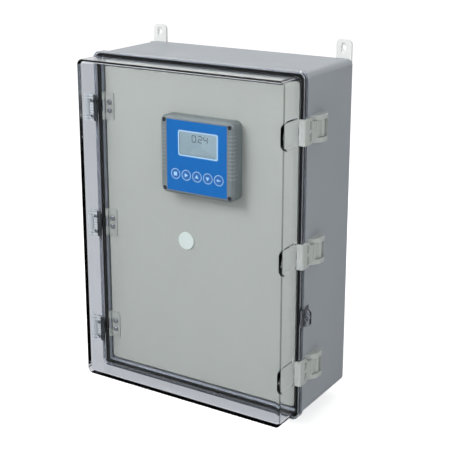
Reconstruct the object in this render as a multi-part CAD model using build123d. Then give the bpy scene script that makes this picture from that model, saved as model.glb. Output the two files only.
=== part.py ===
from build123d import *
import os

os.makedirs("parts", exist_ok=True)

# Online turbidity meter in a wall cabinet, in millimetres.
# X runs to the right, Z up, and the front faces -Y. The origin is the centre of the back face.
# A depth is a distance from the wall, so it is -Y.

# Cabinet
BOX_WIDTH = 350.0
BOX_HEIGHT = 500.0
BOX_DEPTH = 141.0
BOX_WALL = 3.5
BOX_CORNER = 8.0
BOX_BACK_EDGE = 4.0
BEAD_WIDTH = 2.5
BEAD_DEPTH = 3.0
LIP_WIDTH = 4.5
LIP_DEPTH = 4.0
TONGUE_INSET = 4.1
TONGUE_WIDTH = 1.6
TONGUE_HEIGHT = 2.2
HALF_WIDTH = BOX_WIDTH / 2
HALF_HEIGHT = BOX_HEIGHT / 2
FLOOR = -HALF_HEIGHT
FLANGE_WIDTH = BOX_WIDTH + 2 * BEAD_WIDTH
FLANGE_HEIGHT = BOX_HEIGHT + 2 * BEAD_WIDTH

# Clear door
DOOR_GAP = 0.3
TRAY_DEPTH = 45.0
DOOR_WALL = 3.5
DOOR_INSET = 3.0
FLANGE_RISE = 7.0
FLANGE_THICK = 3.0
WINDOW_EDGE = 2.0
GASKET_INNER_INSET = 6.3
GASKET_WIDTH = 5.9
FLANGE_BACK = BOX_DEPTH + FLANGE_RISE
FLANGE_FRONT = FLANGE_BACK + FLANGE_THICK
DOOR_FRONT = FLANGE_FRONT + TRAY_DEPTH
DOOR_BACK = BOX_DEPTH + DOOR_GAP
TRAY_WIDTH = BOX_WIDTH - 2 * DOOR_INSET
TRAY_HEIGHT = BOX_HEIGHT - 2 * DOOR_INSET

# Latches on the right side
LATCH_TOP_INSET = 78.0
LATCH_MIDDLE_Z = -3.0
LATCH_BOTTOM_INSET = 72.0
LATCH_PIN_STANDOFF = 6.0
LATCH_PIN_SETBACK = 33.0
LATCH_PIN_RADIUS = 2.0
LATCH_LIP_HEIGHT = 36.0
LATCH_TAIL_HEIGHT = 24.0
LATCH_LIP_BITE = 5.0
LATCH_LIP_CLEARANCE = 1.2
LATCH_LIP_THICK = 3.8
LATCH_ARM_CLEARANCE = 0.8
LATCH_ARM_THICK = 4.0
LATCH_EYE_RADIUS = 4.6
LATCH_EAR_THICK = 6.6
NOTCH_EXTRA = 1.5
SCOOP_DEPTH = 3.2
SCOOP_HEIGHT = 28.0
SCOOP_LENGTH = 41.0
LATCH_HEIGHTS = (HALF_HEIGHT - LATCH_TOP_INSET, LATCH_MIDDLE_Z, LATCH_BOTTOM_INSET - HALF_HEIGHT)
LATCH_PIN_X = HALF_WIDTH + LATCH_PIN_STANDOFF
LATCH_PIN_DEPTH = BOX_DEPTH - LATCH_PIN_SETBACK
LATCH_LIP_TIP_X = FLANGE_WIDTH / 2 - LATCH_LIP_BITE
LATCH_LIP_BACK = FLANGE_FRONT + LATCH_LIP_CLEARANCE
LATCH_ARM_X = FLANGE_WIDTH / 2 + LATCH_ARM_CLEARANCE
NOTCH_HALF = LATCH_LIP_HEIGHT / 2 + NOTCH_EXTRA
NOTCH_X = LATCH_LIP_TIP_X - 0.7

# Door hinges on the left side
HINGE_TOP_INSET = 83.0
HINGE_MIDDLE_Z = -15.0
HINGE_BOTTOM_INSET = 60.0
HINGE_STANDOFF = 14.5
HINGE_AXIS_SETBACK = 1.0
HINGE_RADIUS = 6.0
HINGE_LENGTH = 40.0
HINGE_KNUCKLE = 24.0
HINGE_PIN_RADIUS = 2.0
HINGE_LEAF_THICK = 2.5
HINGE_SCREW_STEP = 12.0
EAR_CLEARANCE = 0.6
HINGE_HEIGHTS = (HALF_HEIGHT - HINGE_TOP_INSET, HINGE_MIDDLE_Z, HINGE_BOTTOM_INSET - HALF_HEIGHT)
HINGE_X = -FLANGE_WIDTH / 2 - HINGE_STANDOFF
HINGE_DEPTH = FLANGE_FRONT - HINGE_AXIS_SETBACK

# Swing panel behind the door
PANEL_GAP = 4.0
PANEL_SHEET = 1.5
PANEL_RETURN = 12.0
PANEL_CORNER = 5.0
PANEL_HINGE_TOP_INSET = 80.0
PANEL_HINGE_MIDDLE_Z = -12.0
PANEL_HINGE_BOTTOM_INSET = 68.0
PANEL_HINGE_STANDOFF = 2.5
PANEL_HINGE_RISE = 2.7
PANEL_HINGE_RADIUS = 2.6
PANEL_HINGE_LENGTH = 42.0
PANEL_HINGE_KNUCKLE = 16.0
PANEL_HINGE_PIN_RADIUS = 1.2
PANEL_LEAF_THICK = 1.4
PANEL_LEAF_REACH = 15.0
PANEL_SCREW_INSET = 7.5
PANEL_SCREW_SPACING = 13.0
PLUG_X = -19.5
PLUG_Z = -18.0
PLUG_RADIUS = 13.5
PLUG_SNAP = 3.5
PANEL_WIDTH = BOX_WIDTH - 2 * (BOX_WALL + LIP_WIDTH + PANEL_GAP)
PANEL_HEIGHT = BOX_HEIGHT - 2 * (BOX_WALL + LIP_WIDTH + PANEL_GAP)
PANEL_BACK = BOX_DEPTH - PANEL_SHEET
PANEL_LEFT = -PANEL_WIDTH / 2
PANEL_HINGE_HEIGHTS = (HALF_HEIGHT - PANEL_HINGE_TOP_INSET, PANEL_HINGE_MIDDLE_Z,
                       PANEL_HINGE_BOTTOM_INSET - HALF_HEIGHT)
PANEL_HINGE_X = PANEL_LEFT - PANEL_HINGE_STANDOFF
PANEL_HINGE_DEPTH = BOX_DEPTH + PANEL_HINGE_RISE
PANEL_LEAF_END_X = PANEL_LEFT + PANEL_LEAF_REACH
PANEL_SCREW_X = PANEL_LEFT + PANEL_SCREW_INSET

# Controller on the swing panel
CONTROL_X = 14.0
CONTROL_Z = 117.0
CONTROL_WIDTH = 124.0
CONTROL_HEIGHT = 114.0
CONTROL_DEPTH = 22.0
CONTROL_BEVEL = 3.5
CONTROL_CORNER = 9.0
CONTROL_WALL = 3.0
BEZEL_GASKET_THICK = 1.0
RIB_COUNT = 12
RIB_PITCH = 5.6
FILM_SIDE_INSET = 11.25
FILM_END_INSET = 5.0
FILM_THICK = 0.6
DISPLAY_X = 2.7
DISPLAY_Z = 19.6
DISPLAY_WIDTH = 67.0
DISPLAY_HEIGHT = 37.5
KEY_COUNT = 5
KEY_PITCH = 18.3
KEY_RADIUS = 6.6
KEY_X = 0.8
KEY_Z = -27.0
KEY_TRAVEL = 0.5
KEY_CLEARANCE = 0.3
CASE_SIDE_INSET = 13.0
CASE_END_INSET = 12.0
CASE_DEPTH = 67.0
CASE_WALL = 2.5
SCREW_SIDE_INSET = 7.0
SCREW_END_INSET = 6.5
BEZEL_BACK = BOX_DEPTH + BEZEL_GASKET_THICK
CONTROL_FRONT = BEZEL_BACK + CONTROL_DEPTH
FILM_WIDTH = CONTROL_WIDTH - 2 * FILM_SIDE_INSET
FILM_HEIGHT = CONTROL_HEIGHT - 2 * FILM_END_INSET
CASE_WIDTH = CONTROL_WIDTH - 2 * CASE_SIDE_INSET
CASE_HEIGHT = CONTROL_HEIGHT - 2 * CASE_END_INSET
CASE_BACK = BOX_DEPTH - CASE_DEPTH
SCREW_SPREAD_X = CONTROL_WIDTH - 2 * SCREW_SIDE_INSET
SCREW_SPREAD_Z = CONTROL_HEIGHT - 2 * SCREW_END_INSET

# Wall lugs and padlock eyes
LUG_WIDTH = 24.0
LUG_INSET = 14.0
LUG_THICK = 4.0
LUG_RISE = 27.0
LUG_SEAT = 32.0
LUG_HOLE_RADIUS = 3.5
LUG_HOLE_RISE = 15.0
EYE_ABOVE_LATCH = 82.0
EYE_HEIGHT = 26.0
EYE_REACH = 10.0
EYE_THICK = 1.2
EYE_RIVET_STEP = 8.0
LUG_X = HALF_WIDTH - LUG_INSET
LUG_TOP = HALF_HEIGHT + LUG_RISE
LUG_FOOT = HALF_HEIGHT - LUG_SEAT
LUG_HOLE_Z = HALF_HEIGHT + LUG_HOLE_RISE
EYE_Z = LATCH_HEIGHTS[2] + EYE_ABOVE_LATCH

# Mounting plate and what it carries
PLATE_SIDE_GAP = 25.0
PLATE_END_GAP = 35.0
PLATE_THICK = 2.0
BOSS_FRONT = 12.0
BOSS_RADIUS = 6.0
BOSS_INSET = 20.0
CELL_INSET = 58.0
CELL_RADIUS = 29.0
CELL_WALL = 9.0
CELL_RISE = 90.0
CELL_LENGTH = 120.0
CELL_BACK_GAP = 11.0
SADDLE_WALL = 3.0
HEAD_NECK = 8.0
HEAD_LENGTH = 14.0
TRAP_GAP = 1.0
TRAP_RADIUS = 20.0
TRAP_RISE = 100.0
TRAP_LENGTH = 100.0
TRAP_BACK_GAP = 12.0
TRAP_PAD_REACH = 6.0
RAIL_RISE = 155.0
RAIL_LENGTH = 116.0
SUPPLY_WIDTH = 40.0
TERMINAL_COUNT = 8
TERMINAL_PITCH = 6.2
PLATE_WIDTH = BOX_WIDTH - 2 * PLATE_SIDE_GAP
PLATE_HEIGHT = BOX_HEIGHT - 2 * PLATE_END_GAP
PLATE_FRONT = BOSS_FRONT + PLATE_THICK
CELL_X = CELL_INSET - PLATE_WIDTH / 2
CELL_LOW = FLOOR + CELL_RISE
CELL_HIGH = CELL_LOW + CELL_LENGTH
CELL_DEPTH = PLATE_FRONT + CELL_BACK_GAP + CELL_RADIUS
HEAD_START = CELL_X + CELL_RADIUS + HEAD_NECK
TRAP_PAD_HALF = TRAP_RADIUS + TRAP_PAD_REACH
TRAP_X = HEAD_START + HEAD_LENGTH + TRAP_GAP + TRAP_PAD_HALF
TRAP_LOW = FLOOR + TRAP_RISE
TRAP_HIGH = TRAP_LOW + TRAP_LENGTH
TRAP_DEPTH = PLATE_FRONT + TRAP_BACK_GAP + TRAP_RADIUS
RAIL_X = PLATE_WIDTH / 2 - RAIL_LENGTH / 2
RAIL_Z = FLOOR + RAIL_RISE

# Fittings through the bottom wall
GLAND_OFFSETS = (-30.0, 12.0)
GLAND_DEPTH = 55.0
GLAND_BORE = 4.2
GLAND_THREAD_RADIUS = 8.0
FITTING_THREAD_RADIUS = 7.0
DRAIN_OFFSET = 26.0
TAIL_RADIUS = 5.0
TAIL_LENGTH = 18.0
TUBE_RADIUS = 4.0
GLAND_XS = [RAIL_X + offset for offset in GLAND_OFFSETS]
INLET_X = CELL_X
DRAIN_X = TRAP_X - DRAIN_OFFSET
FITTING_DEPTH = CELL_DEPTH


def slab(width, height, corner, near, far, x=0.0, z=0.0):
    """A plate with round corners that faces the front, from one depth to another."""
    outline = RectangleRounded(width, height, corner) if corner > 0 else Rectangle(width, height)
    return extrude(Plane.XZ.offset(near) * Pos(x, z) * outline, far - near)


def ring(width, height, corner, wall, near, far):
    """A rectangular frame that faces the front."""
    hole = slab(width - 2 * wall, height - 2 * wall, max(corner - wall, 0.5), near, far)
    return slab(width, height, corner, near, far) - hole


def peg(radius, x, z, near, far):
    """A round bar that points to the front, from one depth to another."""
    return extrude(Plane.XZ.offset(near) * Pos(x, z) * Circle(radius), far - near)


def post(radius, x, depth, low, high):
    """A vertical round bar."""
    return extrude(Plane.XY.offset(low) * Pos(x, -depth) * Circle(radius), high - low)


def cross_bar(radius, depth, z, left, right):
    """A round bar along X."""
    return extrude(Plane.YZ.offset(left) * Pos(-depth, z) * Circle(radius), right - left)


def block(left, right, near, far, low, high):
    """A plain block between two places on each axis."""
    size = Box(right - left, far - near, high - low)
    return Pos((left + right) / 2, -(near + far) / 2, (low + high) / 2) * size


def plan(points, low, high):
    """A vertical prism whose outline is given seen from above, as (x, depth) points."""
    outline = make_face(Polyline([(x, -depth) for x, depth in points], close=True))
    return extrude(Plane.XY.offset(low) * outline, high - low)


def front_screw(head_radius, head_height, shank_radius, x, z, tip, seat):
    """A pan-head screw driven from the front, its head on a seat at the given depth."""
    head = peg(head_radius, x, z, seat, seat + head_height)
    head = fillet(head.faces().sort_by(Axis.Y)[0].edges(), head_height * 0.55)
    return head + peg(shank_radius, x, z, tip, seat)


def side_screw(head_radius, head_height, shank_radius, depth, z, tip, seat):
    """A pan-head screw along X, its head on the far side of the seat from the tip."""
    out = 1 if seat > tip else -1
    head = cross_bar(head_radius, depth, z, min(seat, seat + out * head_height),
                     max(seat, seat + out * head_height))
    face = head.faces().sort_by(Axis.X)[-1 if out > 0 else 0]
    head = fillet(face.edges(), head_height * 0.55)
    return head + cross_bar(shank_radius, depth, z, min(tip, seat), max(tip, seat))


def save(name, *solids):
    """Writes one sub-part, of one solid or a group of like solids."""
    shape = solids[0] if len(solids) == 1 else Compound(children=list(solids))
    export_step(shape, f"parts/{name}.step")


# Cabinet shell

BOSS_X = PLATE_WIDTH / 2 - BOSS_INSET
BOSS_Z = PLATE_HEIGHT / 2 - BOSS_INSET
BOSS_PLACES = [(x, z) for x in (-BOSS_X, BOSS_X) for z in (-BOSS_Z, BOSS_Z)]
LUG_SCREW_ZS = (LUG_FOOT + 8, LUG_FOOT + 22)
LUG_XS = (-LUG_X, LUG_X)
SHELL_INNER_X = HALF_WIDTH - BOX_WALL


def base_shell():
    body = slab(BOX_WIDTH, BOX_HEIGHT, BOX_CORNER, 0, BOX_DEPTH)
    body = fillet(body.faces().sort_by(Axis.Y)[-1].edges(), BOX_BACK_EDGE)
    body += ring(FLANGE_WIDTH, FLANGE_HEIGHT, BOX_CORNER + BEAD_WIDTH, BEAD_WIDTH + 1,
                 BOX_DEPTH - BEAD_DEPTH, BOX_DEPTH)
    body -= slab(BOX_WIDTH - 2 * BOX_WALL, BOX_HEIGHT - 2 * BOX_WALL, BOX_CORNER - BOX_WALL,
                 BOX_WALL, BOX_DEPTH)
    body += ring(BOX_WIDTH - 2 * BOX_WALL, BOX_HEIGHT - 2 * BOX_WALL, BOX_CORNER - BOX_WALL,
                 LIP_WIDTH, BOX_DEPTH - LIP_DEPTH, BOX_DEPTH)
    body += ring(BOX_WIDTH - 2 * TONGUE_INSET, BOX_HEIGHT - 2 * TONGUE_INSET,
                 BOX_CORNER - TONGUE_INSET + 1, TONGUE_WIDTH,
                 BOX_DEPTH, BOX_DEPTH + TONGUE_HEIGHT)
    for x in LUG_XS:
        foot = LUG_THICK + 3
        body += block(x - LUG_WIDTH / 2 - 4, x + LUG_WIDTH / 2 - 3.5, 0.5, foot + 0.5, LUG_FOOT - 3,
                      HALF_HEIGHT - 1)
    for height in LATCH_HEIGHTS:
        body -= block(HALF_WIDTH, HALF_WIDTH + 10, BOX_DEPTH - BEAD_DEPTH, BOX_DEPTH + 1,
                      height - NOTCH_HALF, height + NOTCH_HALF)
    for x, z in BOSS_PLACES:
        body += peg(BOSS_RADIUS, x, z, BOX_WALL - 1, BOSS_FRONT)
        body -= peg(2.0, x, z, BOX_WALL, BOSS_FRONT)
    body -= base_cuts()
    return body


def base_cuts():
    """Everything that is cut out of the shell for lugs, screws and fittings."""
    cuts = []
    for x in LUG_XS:
        cuts.append(block(x - LUG_WIDTH / 2 - 0.2, x + LUG_WIDTH / 2 + 0.2, -1, LUG_THICK,
                          LUG_FOOT - 0.2, HALF_HEIGHT + 1))
        for z in LUG_SCREW_ZS:
            cuts.append(peg(1.6, x, z, LUG_THICK - 1, LUG_THICK + 3))
    for x in GLAND_XS:
        cuts.append(post(GLAND_THREAD_RADIUS, x, GLAND_DEPTH, FLOOR - 1, FLOOR + BOX_WALL + 1))
    for x in (INLET_X, DRAIN_X):
        cuts.append(post(FITTING_THREAD_RADIUS, x, FITTING_DEPTH, FLOOR - 1, FLOOR + BOX_WALL + 1))
    for height in HINGE_HEIGHTS:
        for side in (-1, 1):
            cuts.append(cross_bar(1.5, HINGE_SCREW_DEPTH, height + side * HINGE_SCREW_STEP,
                                  -HALF_WIDTH - 1, -HALF_WIDTH + 3))
    for height in PANEL_HINGE_HEIGHTS:
        for side in (-1, 1):
            cuts.append(cross_bar(1.3, BRACKET_SCREW_DEPTH, height + side * BRACKET_SCREW_STEP,
                                  -HALF_WIDTH + 1, -SHELL_INNER_X + 1))
    for height in CATCH_HEIGHTS:
        cuts.append(cross_bar(1.3, CATCH_SCREW_DEPTH, height, SHELL_INNER_X - 1, HALF_WIDTH - 1))
    for side in (-1, 1):
        cuts.append(cross_bar(1.2, EYE_RIVET_DEPTH, EYE_Z + side * EYE_RIVET_STEP,
                              HALF_WIDTH - 2.5, HALF_WIDTH + 1))
        for height in LATCH_HEIGHTS:
            cuts.append(cross_bar(1.3, LATCH_SCREW_DEPTH, height + side * LATCH_EAR_MIDDLE,
                                  SHELL_INNER_X - 1, HALF_WIDTH + 1))
    return cuts


# Wall lugs: moulded plates let into the back corners, each held by two screws

def wall_lug(x):
    low, high = LUG_FOOT, LUG_TOP
    lug = slab(LUG_WIDTH, high - low, 0, 0, LUG_THICK, x, (low + high) / 2)
    top_edges = lug.edges().filter_by(Axis.Y).sort_by(Axis.Z)[2:]
    lug = fillet(top_edges, 7.0)
    recess = extrude(Plane.XZ.offset(LUG_THICK - 1.5) * Pos(x, LUG_HOLE_Z) * Rot(0, 0, 90)
                     * SlotOverall(15.0, 9.0), 2)
    lug -= recess
    lug -= peg(LUG_HOLE_RADIUS, x, LUG_HOLE_Z, -1, LUG_THICK + 1)
    for z in LUG_SCREW_ZS:
        lug -= peg(1.6, x, z, -1, LUG_THICK + 1)
        lug -= peg(3.4, x, z, -1, 2.0)
    return lug


def lug_screw(x, z):
    return peg(3.2, x, z, 0.2, 2.0) + peg(1.6, x, z, 2.0, LUG_THICK + 2.5)


# Door hinges: a grip-ribbed barrel piece on the cabinet, a dark leaf on the door, a steel pin

HINGE_SCREW_DEPTH = BOX_DEPTH - 26
HINGE_LEAF_FRONT = FLANGE_FRONT + HINGE_LEAF_THICK
EAR_X = HINGE_X + HINGE_RADIUS + EAR_CLEARANCE
HINGE_LEAF_END = -TRAY_WIDTH / 2 - 0.5
HINGE_SCREW_X = -FLANGE_WIDTH / 2 - 3.5


def hinge_base_leaf(height):
    half = HINGE_KNUCKLE / 2
    outer = -HALF_WIDTH - HINGE_LEAF_THICK - 1
    under_bead = BOX_DEPTH - BEAD_DEPTH - 0.6
    beside_bead = -HALF_WIDTH - BEAD_WIDTH - 0.7
    plate_front = BOX_DEPTH - 13
    arm = plan([(-HALF_WIDTH, under_bead), (-HALF_WIDTH, plate_front - 8), (outer, plate_front - 8),
                (outer, plate_front),
                (HINGE_X - 4, HINGE_DEPTH - 4), (HINGE_X, HINGE_DEPTH), (HINGE_X + 5, HINGE_DEPTH - 3.5),
                (beside_bead, BOX_DEPTH - 1), (beside_bead, under_bead)], height - half, height + half)
    plate = block(outer, -HALF_WIDTH, plate_front - 24, plate_front, height - HINGE_SCREW_STEP - 7,
                  height + HINGE_SCREW_STEP + 7)
    plate = fillet(plate.edges().filter_by(Axis.X), 3.0)
    barrel = post(HINGE_RADIUS, HINGE_X, HINGE_DEPTH, height - half, height + half)
    piece = plate + arm + barrel
    for step in (-8, -4, 0, 4, 8):
        groove = post(HINGE_RADIUS + 1, HINGE_X, HINGE_DEPTH, height + step - 0.7, height + step + 0.7)
        core = post(HINGE_RADIUS - 0.8, HINGE_X, HINGE_DEPTH, height + step - 1, height + step + 1)
        front = block(HINGE_X - HINGE_RADIUS - 2, HINGE_X + HINGE_RADIUS + 2, HINGE_DEPTH - 1,
                      HINGE_DEPTH + HINGE_RADIUS + 2,
                      height + step - 1, height + step + 1)
        piece -= (groove - core) & front
    piece -= post(HINGE_PIN_RADIUS, HINGE_X, HINGE_DEPTH, height - 30, height + 30)
    for side in (-1, 1):
        piece -= cross_bar(1.5, HINGE_SCREW_DEPTH, height + side * HINGE_SCREW_STEP,
                           outer - 1, -HALF_WIDTH + 1)
    return piece


def hinge_door_leaf(height):
    half = HINGE_LENGTH / 2
    inner = HINGE_KNUCKLE / 2 + 0.3
    leaf = block(EAR_X + 0.2, HINGE_LEAF_END, FLANGE_FRONT, HINGE_LEAF_FRONT, height - half, height + half)
    for side in (-1, 1):
        near, far = height + side * inner, height + side * half
        low, high = min(near, far), max(near, far)
        leaf += post(HINGE_RADIUS, HINGE_X, HINGE_DEPTH, low, high)
        leaf += block(HINGE_X, EAR_X + 1, FLANGE_FRONT, HINGE_LEAF_FRONT, low, high)
        leaf -= front_hole(1.5, HINGE_SCREW_X, height + side * HINGE_SCREW_STEP,
                           FLANGE_FRONT, HINGE_LEAF_FRONT)
    leaf -= post(HINGE_PIN_RADIUS + 0.05, HINGE_X, HINGE_DEPTH, height - 30, height + 30)
    return leaf


def front_hole(radius, x, z, near, far):
    """A cutter that passes right through a plate between two depths."""
    return peg(radius, x, z, near - 1, far + 1)


# Clear door: a deep vacuum-formed tray with a flange, notched where the latches close

def door_tray():
    flange = slab(FLANGE_WIDTH, FLANGE_HEIGHT, BOX_CORNER + BEAD_WIDTH, FLANGE_BACK, FLANGE_FRONT)
    skirt = ring(FLANGE_WIDTH, FLANGE_HEIGHT, BOX_CORNER + BEAD_WIDTH, BEAD_WIDTH,
                 DOOR_BACK, FLANGE_BACK)
    tray = slab(TRAY_WIDTH, TRAY_HEIGHT, BOX_CORNER, FLANGE_FRONT, DOOR_FRONT)
    tray = fillet(tray.faces().sort_by(Axis.Y)[0].edges(), WINDOW_EDGE)
    hollow = slab(TRAY_WIDTH - 2 * DOOR_WALL, TRAY_HEIGHT - 2 * DOOR_WALL, BOX_CORNER - DOOR_WALL,
                  FLANGE_BACK - 1, DOOR_FRONT - DOOR_WALL)
    hollow = fillet(hollow.faces().sort_by(Axis.Y)[0].edges(), BOX_CORNER - DOOR_WALL - 0.1)
    for height in LATCH_HEIGHTS:
        hollow -= latch_scoop(height, DOOR_WALL)
    door = flange + skirt + tray - hollow
    for height in HINGE_HEIGHTS:
        door += block(EAR_X, -FLANGE_WIDTH / 2, FLANGE_BACK, FLANGE_FRONT,
                      height - HINGE_LENGTH / 2, height + HINGE_LENGTH / 2)
        for side in (-1, 1):
            door -= front_hole(1.5, HINGE_SCREW_X, height + side * HINGE_SCREW_STEP,
                               FLANGE_BACK, FLANGE_FRONT)
    for height in LATCH_HEIGHTS:
        door -= latch_scoop(height, 0)
        door -= block(NOTCH_X, HALF_WIDTH + 10, DOOR_BACK - 1, FLANGE_FRONT,
                      height - NOTCH_HALF, height + NOTCH_HALF)
    for side in (-1, 1):
        door -= cross_bar(1.2, EYE_DOOR_RIVET_DEPTH, EYE_Z + side * EYE_RIVET_STEP, FLANGE_WIDTH / 2 - 2.4,
                          FLANGE_WIDTH / 2 + 1)
    return door


def latch_scoop(height, inset):
    """The shallow hollow with sloping sides that gives a finger room beside a latch."""
    near = FLANGE_FRONT - inset
    length = SCOOP_LENGTH + 2 * inset
    tall = SCOOP_HEIGHT + 2 * inset
    left = TRAY_WIDTH / 2 - SCOOP_DEPTH - inset
    outline = Pos(-near - length / 2, height) * RectangleRounded(length, tall, tall * 0.42)
    rise = SCOOP_DEPTH + inset
    wide = Pos(-near - length / 2, height) * RectangleRounded(length + 2 * rise, tall + 2 * rise,
                                                              tall * 0.42 + rise)
    scoop = loft([Plane.YZ.offset(left) * outline, Plane.YZ.offset(left + rise) * wide])
    keep = block(left - 1, TRAY_WIDTH / 2 + 1, near, DOOR_FRONT - WINDOW_EDGE, height - 60, height + 60)
    return scoop & keep


def door_gasket():
    width = BOX_WIDTH - 2 * (GASKET_INNER_INSET - GASKET_WIDTH)
    tall = BOX_HEIGHT - 2 * (GASKET_INNER_INSET - GASKET_WIDTH)
    gasket = ring(width, tall, BOX_CORNER - 0.5, GASKET_WIDTH,
                  BOX_DEPTH + TONGUE_HEIGHT + DOOR_GAP, FLANGE_BACK)
    for height in LATCH_HEIGHTS:
        gasket -= block(NOTCH_X - 0.5, HALF_WIDTH + 1, BOX_DEPTH, FLANGE_BACK + 1,
                        height - NOTCH_HALF - 0.5, height + NOTCH_HALF + 0.5)
    return gasket


# Latches: a moulded lever that hooks over the door flange and turns on a steel pin,
# in a humped bracket that is screwed on from inside the cabinet

LATCH_EAR_MIDDLE = LATCH_TAIL_HEIGHT / 2 + 0.4 + LATCH_EAR_THICK / 2
LATCH_SCREW_DEPTH = LATCH_PIN_DEPTH + 8
BRACKET_BASE = 1.0


def latch_bracket(height):
    """Two humped ears on a thin base, closed at the rear by a rounded wall."""
    reach = LATCH_EAR_MIDDLE + LATCH_EAR_THICK / 2
    hump = plan([
        (HALF_WIDTH, LATCH_PIN_DEPTH + 22),
        (LATCH_PIN_X + 0.5, LATCH_PIN_DEPTH + 17),
        (LATCH_PIN_X + 6.5, LATCH_PIN_DEPTH + 7),
        (LATCH_PIN_X + 7.0, LATCH_PIN_DEPTH - 5),
        (LATCH_PIN_X + 3.5, LATCH_PIN_DEPTH - 12.5),
        (HALF_WIDTH, LATCH_PIN_DEPTH - 12.5),
    ], height - reach, height + reach)
    hump = fillet(hump.edges().filter_by(Axis.Z).sort_by(Axis.X)[2:], 3.0)
    hump = fillet(hump.faces().sort_by(Axis.Z)[-1].edges().filter_by(GeomType.CIRCLE), 1.2)
    gap = LATCH_EAR_MIDDLE - LATCH_EAR_THICK / 2
    hump -= block(HALF_WIDTH + BRACKET_BASE, HALF_WIDTH + 30, LATCH_PIN_DEPTH - 6.5,
                  LATCH_PIN_DEPTH + 40, height - gap, height + gap)
    hump -= post(LATCH_PIN_RADIUS, LATCH_PIN_X, LATCH_PIN_DEPTH, height - 30, height + 30)
    for side in (-1, 1):
        hump -= cross_bar(1.3, LATCH_SCREW_DEPTH, height + side * LATCH_EAR_MIDDLE,
                          HALF_WIDTH - 1, HALF_WIDTH + 6)
    return hump


def latch_lever(height):
    outer = LATCH_ARM_X + LATCH_ARM_THICK
    front = LATCH_LIP_BACK + LATCH_LIP_THICK
    half = LATCH_LIP_HEIGHT / 2
    side = plan([(LATCH_LIP_TIP_X, LATCH_LIP_BACK), (LATCH_ARM_X, LATCH_LIP_BACK),
                 (LATCH_ARM_X, LATCH_PIN_DEPTH), (outer, LATCH_PIN_DEPTH), (outer, front),
                 (LATCH_LIP_TIP_X, front)], height - half, height + half)
    side = fillet(side.edges().filter_by(Axis.Z).sort_by(lambda e: e.center().X - e.center().Y)[-1], 3.2)
    tail = LATCH_TAIL_HEIGHT / 2
    wide_back, narrow_front = LATCH_PIN_DEPTH + 31, LATCH_PIN_DEPTH + 25.5
    low = LATCH_PIN_DEPTH - 18
    shape = make_face(Polyline([(-front - 1, -half), (-wide_back, -half), (-narrow_front, -tail),
                                (-low, -tail), (-low, tail), (-narrow_front, tail), (-wide_back, half),
                                (-front - 1, half)], close=True))
    lever = side & extrude(Plane.YZ.offset(LATCH_LIP_TIP_X - 5) * Pos(0, height) * shape, 30)
    lever += post(LATCH_EYE_RADIUS, LATCH_PIN_X, LATCH_PIN_DEPTH, height - tail, height + tail)
    for ridge_depth in (LATCH_PIN_DEPTH + 23, LATCH_PIN_DEPTH + 16.5):
        lever += post(1.8, outer, ridge_depth, height - tail, height + tail)
    window_depth = LATCH_PIN_DEPTH + 32.5
    for z in (-8.0, 8.0):
        window = RectangleRounded(6.5, 12.5, 2.5)
        lever -= extrude(Plane.YZ.offset(LATCH_ARM_X - 1) * Pos(-window_depth, height + z) * window, 10)
    lever -= post(LATCH_PIN_RADIUS + 0.05, LATCH_PIN_X, LATCH_PIN_DEPTH, height - 30, height + 30)
    return lever


def latch_pin(height):
    reach = LATCH_TAIL_HEIGHT / 2 + 0.4 + LATCH_EAR_THICK
    return post(LATCH_PIN_RADIUS, LATCH_PIN_X, LATCH_PIN_DEPTH, height - reach, height + reach)


# Padlock eyes: one riveted to the cabinet, one to the door, with holes in line

EYE_RIVET_DEPTH = BOX_DEPTH - 11
EYE_DOOR_RIVET_DEPTH = FLANGE_BACK - 3


def eye_plate(near, far, root_x):
    """The standing part of an eye, with round outer corners and the shackle hole."""
    left = root_x
    right = FLANGE_WIDTH / 2 + EYE_REACH
    plate = block(left, right, near, far, EYE_Z - EYE_HEIGHT / 2, EYE_Z + EYE_HEIGHT / 2)
    plate = fillet(plate.edges().filter_by(Axis.Y).sort_by(Axis.X)[2:], 6.0)
    return plate - peg(3.3, FLANGE_WIDTH / 2 + 5.2, EYE_Z, near - 1, far + 1)


def padlock_eye_base():
    stand = eye_plate(BOX_DEPTH - BEAD_DEPTH - 0.3 - EYE_THICK, BOX_DEPTH - BEAD_DEPTH - 0.3, HALF_WIDTH)
    foot = block(HALF_WIDTH, HALF_WIDTH + EYE_THICK, BOX_DEPTH - 17, BOX_DEPTH - BEAD_DEPTH - 0.3,
                 EYE_Z - EYE_HEIGHT / 2, EYE_Z + EYE_HEIGHT / 2)
    eye = stand + foot
    for side in (-1, 1):
        eye -= cross_bar(1.2, EYE_RIVET_DEPTH, EYE_Z + side * EYE_RIVET_STEP,
                         HALF_WIDTH - 1, HALF_WIDTH + 5)
    return eye


def padlock_eye_door():
    root = FLANGE_WIDTH / 2
    stand = eye_plate(DOOR_BACK, DOOR_BACK + EYE_THICK, root)
    foot = block(root, root + EYE_THICK, DOOR_BACK, FLANGE_FRONT - 1,
                 EYE_Z - EYE_HEIGHT / 2, EYE_Z + EYE_HEIGHT / 2)
    eye = stand + foot
    for side in (-1, 1):
        eye -= cross_bar(1.2, EYE_DOOR_RIVET_DEPTH, EYE_Z + side * EYE_RIVET_STEP, root - 1, root + 5)
    return eye


def rivet(depth, z, root_x, grip):
    return cross_bar(1.2, depth, z, root_x - 2.2, root_x + grip) + cross_bar(
        2.2, depth, z, root_x + grip, root_x + grip + 0.9)


# Swing panel: a folded sheet on three small hinges, opened once the door is open

BRACKET_SCREW_DEPTH = BOX_DEPTH - 17
BRACKET_SCREW_STEP = 10.0
BRACKET_JOG_FRONT = BOX_DEPTH - 7
CUT_WIDTH = CASE_WIDTH + 1.0
CUT_HEIGHT = CASE_HEIGHT + 1.0


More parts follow.
